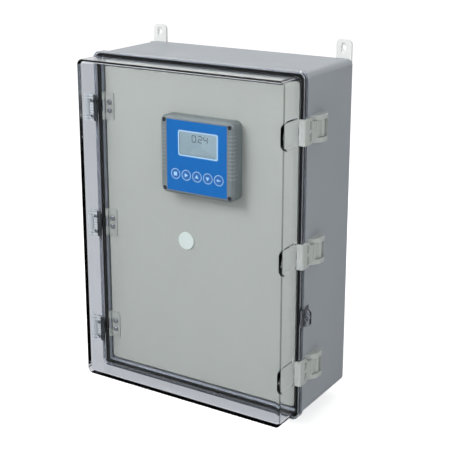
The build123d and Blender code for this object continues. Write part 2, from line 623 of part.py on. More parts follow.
def control_corners():
    spread_x, spread_z = SCREW_SPREAD_X / 2, SCREW_SPREAD_Z / 2
    return [(CONTROL_X + i * spread_x, CONTROL_Z + j * spread_z) for i in (-1, 1) for j in (-1, 1)]


def inner_panel():
    panel = slab(PANEL_WIDTH, PANEL_HEIGHT, PANEL_CORNER, PANEL_BACK, BOX_DEPTH)
    panel += ring(PANEL_WIDTH, PANEL_HEIGHT, PANEL_CORNER, PANEL_SHEET,
                  BOX_DEPTH - PANEL_RETURN, PANEL_BACK)
    panel -= slab(CUT_WIDTH, CUT_HEIGHT, 3, PANEL_BACK - 1, BOX_DEPTH + 1, CONTROL_X, CONTROL_Z)
    panel -= front_hole(PLUG_RADIUS - PLUG_SNAP, PLUG_X, PLUG_Z, PANEL_BACK, BOX_DEPTH)
    for x, z in control_corners():
        panel -= front_hole(1.7, x, z, PANEL_BACK, BOX_DEPTH)
    for height in PANEL_HINGE_HEIGHTS:
        for side in (-1, 1):
            panel -= front_hole(1.6, PANEL_SCREW_X, height + side * PANEL_SCREW_SPACING / 2,
                                PANEL_BACK, BOX_DEPTH)
    return panel


def panel_hinge_leaf(height):
    half = PANEL_HINGE_LENGTH / 2
    inner = PANEL_HINGE_KNUCKLE / 2 + 0.3
    front = BOX_DEPTH + PANEL_LEAF_THICK
    leaf = block(PANEL_LEFT + 0.2, PANEL_LEAF_END_X, BOX_DEPTH, front, height - half, height + half)
    leaf = fillet(leaf.edges().filter_by(Axis.Y).sort_by(Axis.X)[2:], 2.5)
    for side in (-1, 1):
        near, far = height + side * inner, height + side * half
        low, high = min(near, far), max(near, far)
        leaf += post(PANEL_HINGE_RADIUS, PANEL_HINGE_X, PANEL_HINGE_DEPTH, low, high)
        leaf += block(PANEL_HINGE_X, PANEL_LEFT + 1, BOX_DEPTH + 0.2, front, low, high)
        leaf -= front_hole(1.6, PANEL_SCREW_X, height + side * PANEL_SCREW_SPACING / 2, BOX_DEPTH, front)
    leaf -= post(PANEL_HINGE_PIN_RADIUS + 0.05, PANEL_HINGE_X, PANEL_HINGE_DEPTH, height - 30, height + 30)
    return leaf


def panel_hinge_bracket(height):
    half = PANEL_HINGE_KNUCKLE / 2
    tab_left = PANEL_HINGE_X - 1.3
    jog_front = BRACKET_JOG_FRONT
    tab = block(tab_left, tab_left + 1.5, jog_front, PANEL_HINGE_DEPTH, height - half, height + half)
    jog = block(-SHELL_INNER_X, tab_left + 1.5, jog_front - 1.5, jog_front, height - half, height + half)
    foot = block(-SHELL_INNER_X, -SHELL_INNER_X + 1.5, jog_front - 20, jog_front, height - 16, height + 16)
    knuckle = post(PANEL_HINGE_RADIUS, PANEL_HINGE_X, PANEL_HINGE_DEPTH, height - half, height + half)
    piece = foot + jog + tab + knuckle
    piece -= post(PANEL_HINGE_PIN_RADIUS, PANEL_HINGE_X, PANEL_HINGE_DEPTH, height - 30, height + 30)
    for side in (-1, 1):
        piece -= cross_bar(1.3, BRACKET_SCREW_DEPTH, height + side * BRACKET_SCREW_STEP, -SHELL_INNER_X - 1,
                           -SHELL_INNER_X + 3)
    return piece


def blank_plug():
    plug = peg(PLUG_RADIUS, PLUG_X, PLUG_Z, BOX_DEPTH, BOX_DEPTH + 2.4)
    plug = fillet(plug.faces().sort_by(Axis.Y)[0].edges(), 1.4)
    return plug + peg(PLUG_RADIUS - PLUG_SNAP, PLUG_X, PLUG_Z, PANEL_BACK - 4, BOX_DEPTH)


# Magnetic catches that hold the swing panel shut

CATCH_INSET = 130.0
CATCH_HEIGHTS = (HALF_HEIGHT - CATCH_INSET, CATCH_INSET - HALF_HEIGHT)
CATCH_SCREW_DEPTH = BOX_DEPTH - 29
CATCH_SHELF_FRONT = BOX_DEPTH - 21.5
MAGNET_RIGHT = PANEL_WIDTH / 2 - PANEL_SHEET - 1.5


def catch_bracket(height):
    back = CATCH_SHELF_FRONT - 1.5
    shelf = block(MAGNET_RIGHT - 12, SHELL_INNER_X, back, CATCH_SHELF_FRONT, height - 18, height + 18)
    foot = block(SHELL_INNER_X - 1.5, SHELL_INNER_X, back - 12, back, height - 18, height + 18)
    return shelf + foot - cross_bar(1.3, CATCH_SCREW_DEPTH, height, SHELL_INNER_X - 5, SHELL_INNER_X + 1)


def catch_magnet(height):
    magnet = block(MAGNET_RIGHT - 12, MAGNET_RIGHT, CATCH_SHELF_FRONT, PANEL_BACK - DOOR_GAP,
                   height - 18, height + 18)
    return fillet(magnet.edges().filter_by(Axis.Y), 1.5)


# Controller: bezel in front of the panel, case behind it, drawn together by four long screws

FILM_SEAT = CONTROL_FRONT - FILM_THICK - 0.2
PLATE_SEAT = CONTROL_FRONT - CONTROL_WALL - 0.5
BOARD_DEPTH = CONTROL_FRONT - 14
DISPLAY_BACK = CONTROL_FRONT - 10.5
KEY_SWITCH_TOP = CONTROL_FRONT - 8
KEY_PLACES = [(CONTROL_X + KEY_X + (i - (KEY_COUNT - 1) / 2) * KEY_PITCH, CONTROL_Z + KEY_Z)
              for i in range(KEY_COUNT)]
CASE_FLANGE = 2.3


def bezel_gasket():
    outer = slab(CONTROL_WIDTH - 4, CONTROL_HEIGHT - 4, CONTROL_CORNER - 2, BOX_DEPTH, BEZEL_BACK,
                 CONTROL_X, CONTROL_Z)
    hole = slab(CUT_WIDTH, CUT_HEIGHT, 3, BOX_DEPTH, BEZEL_BACK, CONTROL_X, CONTROL_Z)
    gasket = outer - hole
    for x, z in control_corners():
        gasket -= front_hole(1.7, x, z, BOX_DEPTH, BEZEL_BACK)
    return gasket


def controller_bezel():
    body = slab(CONTROL_WIDTH, CONTROL_HEIGHT, CONTROL_CORNER, BEZEL_BACK, CONTROL_FRONT,
                CONTROL_X, CONTROL_Z)
    body = chamfer(body.faces().sort_by(Axis.Y)[0].edges(), CONTROL_BEVEL)
    body -= slab(CASE_WIDTH + 2, CASE_HEIGHT + 2, 3, BEZEL_BACK - 1, PLATE_SEAT, CONTROL_X, CONTROL_Z)
    body -= slab(FILM_WIDTH + 0.4, FILM_HEIGHT + 0.4, 1, FILM_SEAT, CONTROL_FRONT + 1,
                 CONTROL_X, CONTROL_Z)
    body -= slab(DISPLAY_WIDTH - 4, DISPLAY_HEIGHT - 4, 1, PLATE_SEAT - 1, CONTROL_FRONT,
                 CONTROL_X + DISPLAY_X, CONTROL_Z + DISPLAY_Z)
    for x, z in KEY_PLACES:
        body -= front_hole(KEY_RADIUS + KEY_CLEARANCE, x, z, PLATE_SEAT, CONTROL_FRONT)
    for x, z in control_corners():
        body -= front_hole(1.7, x, z, BEZEL_BACK, CONTROL_FRONT)
        body -= peg(3.4, x, z, CONTROL_FRONT - 2.4, CONTROL_FRONT + 1)
    strip = (CONTROL_WIDTH / 2 - CONTROL_BEVEL + FILM_WIDTH / 2) / 2
    for side in (-1, 1):
        for row in range(RIB_COUNT):
            z = CONTROL_Z + 8.0 + (row - (RIB_COUNT - 1) / 2) * RIB_PITCH
            x = CONTROL_X + side * strip
            body += block(x - 2.8, x + 2.8, CONTROL_FRONT, CONTROL_FRONT + 0.6, z - 0.8, z + 0.8)
    return body


def face_film():
    film = slab(FILM_WIDTH, FILM_HEIGHT, 1, FILM_SEAT, FILM_SEAT + FILM_THICK, CONTROL_X, CONTROL_Z)
    film -= slab(DISPLAY_WIDTH + 0.4, DISPLAY_HEIGHT + 0.4, 2.2, FILM_SEAT - 1, CONTROL_FRONT,
                 CONTROL_X + DISPLAY_X, CONTROL_Z + DISPLAY_Z)
    for x, z in KEY_PLACES:
        film -= front_hole(KEY_RADIUS + KEY_CLEARANCE, x, z, FILM_SEAT, CONTROL_FRONT)
    for x, z in control_corners():
        film -= front_hole(3.6, x, z, FILM_SEAT, CONTROL_FRONT)
    return film


def display_window():
    return slab(DISPLAY_WIDTH, DISPLAY_HEIGHT, 2, FILM_SEAT, FILM_SEAT + 0.8,
                CONTROL_X + DISPLAY_X, CONTROL_Z + DISPLAY_Z)


def display_module():
    return slab(DISPLAY_WIDTH + 6, DISPLAY_HEIGHT + 6, 1, DISPLAY_BACK, PLATE_SEAT,
                CONTROL_X + DISPLAY_X, CONTROL_Z + DISPLAY_Z)


def key_cap(place):
    x, z = place
    cap = peg(KEY_RADIUS, x, z, PLATE_SEAT + 0.6, CONTROL_FRONT + 0.4)
    cap = fillet(cap.faces().sort_by(Axis.Y)[0].edges(), 0.5)
    return cap + peg(1.8, x, z, KEY_SWITCH_TOP + KEY_TRAVEL + 0.1, PLATE_SEAT + 0.6)


def circuit_board():
    board = slab(CASE_WIDTH - 8, CASE_HEIGHT - 4, 1, BOARD_DEPTH, BOARD_DEPTH + 1.6, CONTROL_X, CONTROL_Z)
    board += slab(30, 12, 0, BOARD_DEPTH - 9, BOARD_DEPTH, CONTROL_X, CONTROL_Z)
    board += slab(DISPLAY_WIDTH, 10, 0, BOARD_DEPTH + 1.6, DISPLAY_BACK, CONTROL_X + DISPLAY_X,
                  CONTROL_Z + DISPLAY_Z)
    for x, z in KEY_PLACES:
        board += slab(6, 6, 0, BOARD_DEPTH + 1.6, KEY_SWITCH_TOP, x, z)
    return board


def controller_case():
    flange_front = PANEL_BACK
    case = slab(CASE_WIDTH, CASE_HEIGHT, 4, CASE_BACK, BOARD_DEPTH, CONTROL_X, CONTROL_Z)
    case += slab(SCREW_SPREAD_X + 10, SCREW_SPREAD_Z + 10, 6, flange_front - CASE_FLANGE, flange_front,
                 CONTROL_X, CONTROL_Z)
    case -= slab(CASE_WIDTH - 2 * CASE_WALL, CASE_HEIGHT - 2 * CASE_WALL, 2, CASE_BACK + CASE_WALL,
                 BOARD_DEPTH + 1, CONTROL_X, CONTROL_Z)
    for x, z in control_corners():
        case -= front_hole(1.5, x, z, flange_front - CASE_FLANGE, flange_front)
    for row in range(6):
        z = CONTROL_Z + (row - 2.5) * 9
        for side in (-1, 1):
            x = CONTROL_X + side * CASE_WIDTH / 2
            case -= block(x - 4, x + 4, CASE_BACK + 26, CASE_BACK + 54, z - 1.2, z + 1.2)
    return case


def bezel_screw(x, z):
    head = peg(3.1, x, z, CONTROL_FRONT - 2.4, CONTROL_FRONT - 0.4)
    return head + peg(1.5, x, z, PANEL_BACK - CASE_FLANGE - 1, CONTROL_FRONT - 2.4)


def rear_terminal(x):
    body = block(x - 19, x + 19, CASE_BACK - 12, CASE_BACK, CONTROL_Z - 38, CONTROL_Z - 24)
    for i in range(7):
        body -= peg(1.6, x - 15 + i * 5, CONTROL_Z - 31, CASE_BACK - 13, CASE_BACK - 4)
    return body


# Mounting plate, standing on four bosses of the shell

BRACKET_ZS = (CELL_LOW + 25, CELL_HIGH - 25)
TRAP_BRACKET_Z = (TRAP_LOW + TRAP_HIGH) / 2


def mounting_plate():
    plate = slab(PLATE_WIDTH, PLATE_HEIGHT, 6, BOSS_FRONT, PLATE_FRONT)
    for x, z in BOSS_PLACES:
        plate -= front_hole(2.0, x, z, BOSS_FRONT, PLATE_FRONT)
    return plate


def plate_screw(x, z):
    return front_screw(4.0, 2.6, 2.0, x, z, BOX_WALL + 1, PLATE_FRONT)


# Measuring chamber with its optics, held to the plate by two saddles

def measuring_chamber():
    body = post(CELL_RADIUS, CELL_X, CELL_DEPTH, CELL_LOW, CELL_HIGH)
    body = chamfer(body.faces().sort_by(Axis.Z)[0].edges(), 6.0)
    body += cross_bar(13, CELL_DEPTH, CELL_LOW + CELL_LENGTH / 2, CELL_X, HEAD_START)
    body += post(6.0, CELL_X, CELL_DEPTH, CELL_LOW - 8, CELL_LOW)
    body -= post(CELL_RADIUS - CELL_WALL, CELL_X, CELL_DEPTH, CELL_LOW + 12, CELL_HIGH + 1)
    return body


def chamber_cap():
    body = post(CELL_RADIUS + 3, CELL_X, CELL_DEPTH, CELL_HIGH, CELL_HIGH + 16)
    body += post(CELL_RADIUS - 8, CELL_X, CELL_DEPTH, CELL_HIGH + 16, CELL_HIGH + 40)
    for i in range(16):
        notch = Rot(0, 0, i * 22.5) * Pos(CELL_RADIUS + 3.6, 0) * Circle(2.2)
        body -= extrude(Plane.XY.offset(CELL_HIGH) * Pos(CELL_X, -CELL_DEPTH) * notch, 16)
    return chamfer(body.faces().sort_by(Axis.Z)[-1].edges(), 2.0)


def detector_head():
    head = cross_bar(15, CELL_DEPTH, CELL_LOW + CELL_LENGTH / 2, HEAD_START, HEAD_START + HEAD_LENGTH)
    return chamfer(head.faces().sort_by(Axis.X)[-1].edges(), 2.0)


def chamber_saddle(z):
    pad_half = CELL_RADIUS + 7
    pad = block(CELL_X - pad_half, CELL_X + pad_half, PLATE_FRONT, PLATE_FRONT + 5, z - 8, z + 8)
    strap = post(CELL_RADIUS + SADDLE_WALL, CELL_X, CELL_DEPTH, z - 8, z + 8)
    web = block(CELL_X - 20, CELL_X + 20, PLATE_FRONT + 5, CELL_DEPTH, z - 8, z + 8)
    return pad + strap + web - post(CELL_RADIUS, CELL_X, CELL_DEPTH, z - 9, z + 9)


# Bubble trap: a clear tube between two black end caps, in a clip

def trap_tube():
    body = post(TRAP_RADIUS, TRAP_X, TRAP_DEPTH, TRAP_LOW, TRAP_HIGH)
    return body - post(TRAP_RADIUS - 3, TRAP_X, TRAP_DEPTH, TRAP_LOW - 1, TRAP_HIGH + 1)


def trap_cap(low, high, port_low, port_high):
    body = post(TRAP_RADIUS + 3, TRAP_X, TRAP_DEPTH, low, high)
    return body + post(5.0, TRAP_X, TRAP_DEPTH, port_low, port_high)


def trap_clip():
    z = TRAP_BRACKET_Z
    pad = block(TRAP_X - TRAP_PAD_HALF, TRAP_X + TRAP_PAD_HALF, PLATE_FRONT, PLATE_FRONT + 3, z - 9, z + 9)
    strap = post(TRAP_RADIUS + 2.5, TRAP_X, TRAP_DEPTH, z - 9, z + 9)
    web = block(TRAP_X - 12, TRAP_X + 12, PLATE_FRONT + 3, TRAP_DEPTH, z - 9, z + 9)
    return pad + strap + web - post(TRAP_RADIUS, TRAP_X, TRAP_DEPTH, z - 10, z + 10)


# Sample tubes between the fittings, the trap and the chamber

INLET_TOP = FLOOR + BOX_WALL + 22
CELL_TAIL_LOW = CELL_LOW - 8


def tube(points, radii):
    """A tube of the sample line along straight runs joined by arcs."""
    path = FilletPolyline(*[Vector(x, -depth, z) for x, depth, z in points], radius=radii)
    start = Plane(origin=path @ 0, z_dir=path % 0)
    return sweep(start * Circle(TUBE_RADIUS), path=path)


def chamber_tube():
    return post(TUBE_RADIUS, CELL_X, CELL_DEPTH, INLET_TOP, CELL_TAIL_LOW)


def trap_tube_line():
    low = TRAP_LOW - 20
    return tube([(DRAIN_X, FITTING_DEPTH, INLET_TOP), (DRAIN_X, FITTING_DEPTH, INLET_TOP + 16),
                 (TRAP_X, TRAP_DEPTH, low - 14), (TRAP_X, TRAP_DEPTH, low)], 10.0)


# Electrical parts on a mounting rail

RAIL_FRONT = PLATE_FRONT + 7.5


def din_rail():
    left, right = RAIL_X - RAIL_LENGTH / 2, RAIL_X + RAIL_LENGTH / 2
    web = block(left, right, PLATE_FRONT, PLATE_FRONT + 1, RAIL_Z - 13.5, RAIL_Z + 13.5)
    for side in (-1, 1):
        near, far = RAIL_Z + side * 12.5, RAIL_Z + side * 13.5
        web += block(left, right, PLATE_FRONT, RAIL_FRONT, min(near, far), max(near, far))
        lip = RAIL_Z + side * 17.5
        web += block(left, right, RAIL_FRONT - 1, RAIL_FRONT, min(near, lip), max(near, lip))
    return web


def power_supply():
    left = RAIL_X - RAIL_LENGTH / 2 + 2
    right = left + SUPPLY_WIDTH
    body = block(left, right, RAIL_FRONT, RAIL_FRONT + 32, RAIL_Z - 45, RAIL_Z + 45)
    body += block(left, right, RAIL_FRONT + 32, RAIL_FRONT + 52, RAIL_Z - 23, RAIL_Z + 23)
    for side in (-1, 1):
        for i in range(4):
            body -= peg(2.2, left + 7 + i * 8.6, RAIL_Z + side * 36, RAIL_FRONT + 29, RAIL_FRONT + 33)
    return body


TERMINAL_START = RAIL_X - RAIL_LENGTH / 2 + SUPPLY_WIDTH + 8


def terminal_block(index):
    left = TERMINAL_START + index * TERMINAL_PITCH
    right = left + TERMINAL_PITCH
    side = make_face(Polyline([(-RAIL_FRONT, -21), (-RAIL_FRONT - 24, -21), (-RAIL_FRONT - 38, -10),
                               (-RAIL_FRONT - 38, 10), (-RAIL_FRONT - 24, 21), (-RAIL_FRONT, 21)],
                              close=True))
    body = extrude(Plane.YZ.offset(left) * Pos(0, RAIL_Z) * side, right - left)
    for z in (-6, 6):
        body -= peg(1.7, (left + right) / 2, RAIL_Z + z, RAIL_FRONT + 34, RAIL_FRONT + 39)
    return body


def rail_stop(left):
    return block(left, left + 7, RAIL_FRONT, RAIL_FRONT + 26, RAIL_Z - 20, RAIL_Z + 20)


# Bottom fittings: cable glands and hose tails, each clamped through the wall by a nut

def hexagon(across_flats, x, depth, low, high):
    outline = RegularPolygon(across_flats / 2, 6, major_radius=False)
    return extrude(Plane.XY.offset(low) * Pos(x, -depth) * outline, high - low)


def gland_body(x):
    body = hexagon(20, x, GLAND_DEPTH, FLOOR - 5, FLOOR)
    body += post(GLAND_THREAD_RADIUS, x, GLAND_DEPTH, FLOOR, FLOOR + 12)
    return body - post(GLAND_BORE, x, GLAND_DEPTH, FLOOR - 10, FLOOR + 20)


def gland_cap(x):
    cap = post(9.5, x, GLAND_DEPTH, FLOOR - 22, FLOOR - 5)
    cap = fillet(cap.faces().sort_by(Axis.Z)[0].edges(), 3.0)
    return cap - post(GLAND_BORE, x, GLAND_DEPTH, FLOOR - 30, FLOOR)


def wall_nut(across_flats, radius, x, depth):
    low = FLOOR + BOX_WALL
    return hexagon(across_flats, x, depth, low, low + 5) - post(radius, x, depth, low - 1, low + 9)


def hose_fitting(x):
    body = hexagon(19, x, FITTING_DEPTH, FLOOR - 6, FLOOR)
    body += post(FITTING_THREAD_RADIUS, x, FITTING_DEPTH, FLOOR, FLOOR + 12)
    body += post(5.5, x, FITTING_DEPTH, FLOOR + 12, INLET_TOP)
    tail = post(TAIL_RADIUS, x, FITTING_DEPTH, FLOOR - 6 - TAIL_LENGTH, FLOOR - 6)
    body += chamfer(tail.faces().sort_by(Axis.Z)[0].edges(), 1.2)
    return body - post(3.0, x, FITTING_DEPTH, FLOOR - 40, FLOOR + 40)


save("base_shell", base_shell())
save("wall_lugs", *[wall_lug(x) for x in LUG_XS])
save("wall_lug_screws", *[lug_screw(x, z) for x in LUG_XS for z in LUG_SCREW_ZS])
save("hinge_base_leaves", *[hinge_base_leaf(h) for h in HINGE_HEIGHTS])
save("hinge_base_screws", *[side_screw(2.8, 1.8, 1.5, HINGE_SCREW_DEPTH, h + s * HINGE_SCREW_STEP,
                                       -HALF_WIDTH + 2.5, -HALF_WIDTH - HINGE_LEAF_THICK - 1)
                            for h in HINGE_HEIGHTS for s in (-1, 1)])
save("hinge_pins", *[post(HINGE_PIN_RADIUS, HINGE_X, HINGE_DEPTH, h - HINGE_LENGTH / 2,
                          h + HINGE_LENGTH / 2) for h in HINGE_HEIGHTS])
save("latch_brackets", *[latch_bracket(h) for h in LATCH_HEIGHTS])
save("latch_pins", *[latch_pin(h) for h in LATCH_HEIGHTS])
save("padlock_eye_base", padlock_eye_base())
save("eye_rivets_base", *[rivet(EYE_RIVET_DEPTH, EYE_Z + s * EYE_RIVET_STEP, HALF_WIDTH, EYE_THICK)
                          for s in (-1, 1)])
save("panel_hinge_brackets", *[panel_hinge_bracket(h) for h in PANEL_HINGE_HEIGHTS])
save("panel_hinge_pins", *[post(PANEL_HINGE_PIN_RADIUS, PANEL_HINGE_X, PANEL_HINGE_DEPTH,
                                h - PANEL_HINGE_LENGTH / 2, h + PANEL_HINGE_LENGTH / 2)
                           for h in PANEL_HINGE_HEIGHTS])
save("catch_brackets", *[catch_bracket(h) for h in CATCH_HEIGHTS])
save("catch_magnets", *[catch_magnet(h) for h in CATCH_HEIGHTS])
save("bracket_screws",
     *[side_screw(2.4, 1.5, 1.3, BRACKET_SCREW_DEPTH, h + s * BRACKET_SCREW_STEP, -HALF_WIDTH + 1,
                  -SHELL_INNER_X + 1.5)
       for h in PANEL_HINGE_HEIGHTS for s in (-1, 1)],
     *[side_screw(2.4, 1.5, 1.3, CATCH_SCREW_DEPTH, h, HALF_WIDTH - 1, SHELL_INNER_X - 1.5)
       for h in CATCH_HEIGHTS],
     *[side_screw(2.4, 1.5, 1.3, LATCH_SCREW_DEPTH, h + s * LATCH_EAR_MIDDLE, HALF_WIDTH + 6,
                  SHELL_INNER_X) for h in LATCH_HEIGHTS for s in (-1, 1)])
save("mounting_plate", mounting_plate())
save("plate_screws", *[plate_screw(x, z) for x, z in BOSS_PLACES])
save("measuring_chamber", measuring_chamber())
save("chamber_cap", chamber_cap())
save("detector_head", detector_head())
save("chamber_saddles", *[chamber_saddle(z) for z in BRACKET_ZS])
save("bubble_trap_tube", trap_tube())
save("bubble_trap_caps", trap_cap(TRAP_LOW - 10, TRAP_LOW, TRAP_LOW - 20, TRAP_LOW - 10),
     trap_cap(TRAP_HIGH, TRAP_HIGH + 10, TRAP_HIGH + 10, TRAP_HIGH + 18))
save("bubble_trap_clip", trap_clip())
save("sample_tubes", chamber_tube(), trap_tube_line())
save("din_rail", din_rail())
save("power_supply", power_supply())
save("terminal_blocks", *[terminal_block(i) for i in range(TERMINAL_COUNT)])
save("rail_stop", rail_stop(TERMINAL_START + TERMINAL_COUNT * TERMINAL_PITCH))
save("gland_bodies", *[gland_body(x) for x in GLAND_XS])
save("gland_caps", *[gland_cap(x) for x in GLAND_XS])
save("hose_fittings", hose_fitting(INLET_X), hose_fitting(DRAIN_X))
save("wall_nuts", *[wall_nut(20, GLAND_THREAD_RADIUS, x, GLAND_DEPTH) for x in GLAND_XS],
     *[wall_nut(19, FITTING_THREAD_RADIUS, x, FITTING_DEPTH) for x in (INLET_X, DRAIN_X)])

save("door_tray", door_tray())
save("door_gasket", door_gasket())
save("hinge_door_leaves", *[hinge_door_leaf(h) for h in HINGE_HEIGHTS])
save("hinge_door_screws", *[front_screw(2.9, 1.8, 1.5, HINGE_SCREW_X, h + s * HINGE_SCREW_STEP,
                                        FLANGE_BACK + 0.2, HINGE_LEAF_FRONT)
                            for h in HINGE_HEIGHTS for s in (-1, 1)])
save("padlock_eye_door", padlock_eye_door())
save("eye_rivets_door", *[rivet(EYE_DOOR_RIVET_DEPTH, EYE_Z + s * EYE_RIVET_STEP, FLANGE_WIDTH / 2,
                                EYE_THICK) for s in (-1, 1)])

save("inner_panel", inner_panel())
save("panel_hinge_leaves", *[panel_hinge_leaf(h) for h in PANEL_HINGE_HEIGHTS])
save("panel_hinge_screws", *[front_screw(4.2, 2.6, 1.6, PANEL_SCREW_X, h + s * PANEL_SCREW_SPACING / 2,
                                         PANEL_BACK - 2, BOX_DEPTH + PANEL_LEAF_THICK)
                             for h in PANEL_HINGE_HEIGHTS for s in (-1, 1)])
save("blank_plug", blank_plug())
save("bezel_gasket", bezel_gasket())
save("controller_bezel", controller_bezel())
save("controller_case", controller_case())
save("face_film", face_film())
save("display_window", display_window())
save("display_module", display_module())
save("circuit_board", circuit_board())
save("bezel_screws", *[bezel_screw(x, z) for x, z in control_corners()])
save("rear_terminals", *[rear_terminal(CONTROL_X + dx) for dx in (-22, 22)])
for number, place in enumerate(KEY_PLACES, 1):
    save(f"key_{number}", key_cap(place))

for name, height in zip(("top", "middle", "bottom"), LATCH_HEIGHTS):
    save(f"latch_{name}", latch_lever(height))
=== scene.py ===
import math

import bmesh
import bpy
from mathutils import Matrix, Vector


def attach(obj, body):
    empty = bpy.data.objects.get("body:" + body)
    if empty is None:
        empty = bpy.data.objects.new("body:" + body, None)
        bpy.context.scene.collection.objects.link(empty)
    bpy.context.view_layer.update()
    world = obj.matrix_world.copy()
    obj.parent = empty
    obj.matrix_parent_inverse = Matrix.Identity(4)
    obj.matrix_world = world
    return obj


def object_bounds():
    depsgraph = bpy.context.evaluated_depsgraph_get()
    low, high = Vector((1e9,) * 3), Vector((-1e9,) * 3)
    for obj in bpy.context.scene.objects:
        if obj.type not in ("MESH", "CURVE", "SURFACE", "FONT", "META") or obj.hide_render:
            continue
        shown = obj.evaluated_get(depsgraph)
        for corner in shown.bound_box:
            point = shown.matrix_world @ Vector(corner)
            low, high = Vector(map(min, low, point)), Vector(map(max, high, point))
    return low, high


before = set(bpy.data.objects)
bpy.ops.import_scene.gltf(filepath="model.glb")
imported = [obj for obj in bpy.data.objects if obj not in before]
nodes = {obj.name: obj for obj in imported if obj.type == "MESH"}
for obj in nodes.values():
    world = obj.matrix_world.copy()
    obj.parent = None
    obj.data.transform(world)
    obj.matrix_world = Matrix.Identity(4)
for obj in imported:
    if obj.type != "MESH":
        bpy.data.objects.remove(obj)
cad_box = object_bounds()


# Cabinet shell
# The grey body is one moulding in glass-filled polyester, open at the front, with a fine even
# grain from the mould and a satin sheen. Every other piece is screwed to it or hangs on it.

def shade_node(tree, kind, **settings):
    node = tree.nodes.new("ShaderNode" + kind)
    for name, value in settings.items():
        setattr(node, name, value)
    return node


def new_group(name, inputs, outputs):
    group = bpy.data.node_groups.new(name, "ShaderNodeTree")
    for direction, sockets in (("INPUT", inputs), ("OUTPUT", outputs)):
        for label, kind, value in sockets:
            socket = group.interface.new_socket(
                name=label, in_out=direction, socket_type="NodeSocket" + kind)
            if value is not None:
                socket.default_value = value
    return group, group.nodes.new("NodeGroupInput"), group.nodes.new("NodeGroupOutput")


def build_moulded_grain():
    """Mottled colour, roughness and a fine bump height for moulded and painted surfaces."""
    group, inputs, outputs = new_group(
        "moulded_grain",
        [("Colour", "Color", (0.5, 0.5, 0.5, 1)), ("Drift", "Float", 0.06),
         ("Grain Size", "Float", 0.0012), ("Roughness", "Float", 0.45)],
        [("Colour", "Color", None), ("Roughness", "Float", None), ("Height", "Float", None)])
    link = group.links.new
    place = shade_node(group, "TexCoord")
    scale = shade_node(group, "Math", operation="DIVIDE")
    scale.inputs[0].default_value = 1.0
    link(inputs.outputs["Grain Size"], scale.inputs[1])
    grain = shade_node(group, "TexNoise")
    grain.inputs["Detail"].default_value = 4.0
    link(place.outputs["Object"], grain.inputs["Vector"])
    link(scale.outputs[0], grain.inputs["Scale"])
    cloud = shade_node(group, "TexNoise")
    cloud.inputs["Scale"].default_value = 14.0
    cloud.inputs["Detail"].default_value = 3.0
    link(place.outputs["Object"], cloud.inputs["Vector"])
    both = shade_node(group, "Math", operation="ADD")
    link(grain.outputs["Fac"], both.inputs[0])
    link(cloud.outputs["Fac"], both.inputs[1])
    centred = shade_node(group, "Math", operation="SUBTRACT")
    centred.inputs[1].default_value = 1.0
    link(both.outputs[0], centred.inputs[0])
    amount = shade_node(group, "Math", operation="MULTIPLY_ADD")
    amount.inputs[2].default_value = 1.0
    link(centred.outputs[0], amount.inputs[0])
    link(inputs.outputs["Drift"], amount.inputs[1])
    tint = shade_node(group, "VectorMath", operation="SCALE")
    link(inputs.outputs["Colour"], tint.inputs[0])
    link(amount.outputs[0], tint.inputs["Scale"])
    link(tint.outputs["Vector"], outputs.inputs["Colour"])
    rough = shade_node(group, "Math", operation="MULTIPLY_ADD")
    rough.inputs[1].default_value = 0.25
    link(cloud.outputs["Fac"], rough.inputs[0])
    link(inputs.outputs["Roughness"], rough.inputs[2])
    link(rough.outputs[0], outputs.inputs["Roughness"])
    link(grain.outputs["Fac"], outputs.inputs["Height"])
    return group


moulded_grain = build_moulded_grain()


def srgb(red, green, blue):
    """The linear colour of a finish that reads as these 0 to 255 values."""
    parts = [c / 255 for c in (red, green, blue)]
    return [c / 12.92 if c <= 0.04045 else ((c + 0.055) / 1.055) ** 2.4 for c in parts] + [1.0]


def link_effect(tree, effect, bump, depth):
    """Feeds a finish's colour, roughness and relief to the shader."""
    shader = tree.nodes["Principled BSDF"]
    relief = shade_node(tree, "Bump")
    relief.inputs["Strength"].default_value = bump
    relief.inputs["Distance"].default_value = depth
    tree.links.new(effect.outputs["Colour"], shader.inputs["Base Color"])
    tree.links.new(effect.outputs["Roughness"], shader.inputs["Roughness"])
    tree.links.new(effect.outputs["Height"], relief.inputs["Height"])
    tree.links.new(relief.outputs["Normal"], shader.inputs["Normal"])


def moulded(name, colour, roughness=0.4, drift=0.06, grain_size=0.0012, bump=0.15):
    """A moulded plastic, rubber or painted finish."""
    material = bpy.data.materials.new(name)
    material.use_nodes = True
    tree = material.node_tree
    effect = tree.nodes.new("ShaderNodeGroup")
    effect.node_tree = moulded_grain
    effect.inputs["Colour"].default_value = srgb(*colour)
    effect.inputs["Drift"].default_value = drift
    effect.inputs["Grain Size"].default_value = grain_size
    effect.inputs["Roughness"].default_value = roughness - 0.12
    link_effect(tree, effect, bump, 0.0001)
    return material


def finish_nodes(material, *names):
    for name in names:
        slots = nodes[name].data.materials
        slots.clear()
        slots.append(material)


cabinet_plastic = moulded("cabinet_plastic", (152, 158, 164), roughness=0.4, drift=0.03, bump=0.05)
finish_nodes(cabinet_plastic, "base_shell")


# Wall lugs
# Two white nylon plates, let into the upper back corners of the cabinet. Each is held by two
# zinc-plated countersunk screws, as are the plates and brackets inside.

lug_nylon = moulded("lug_nylon", (226, 228, 226), roughness=0.38)
finish_nodes(lug_nylon, "wall_lugs")


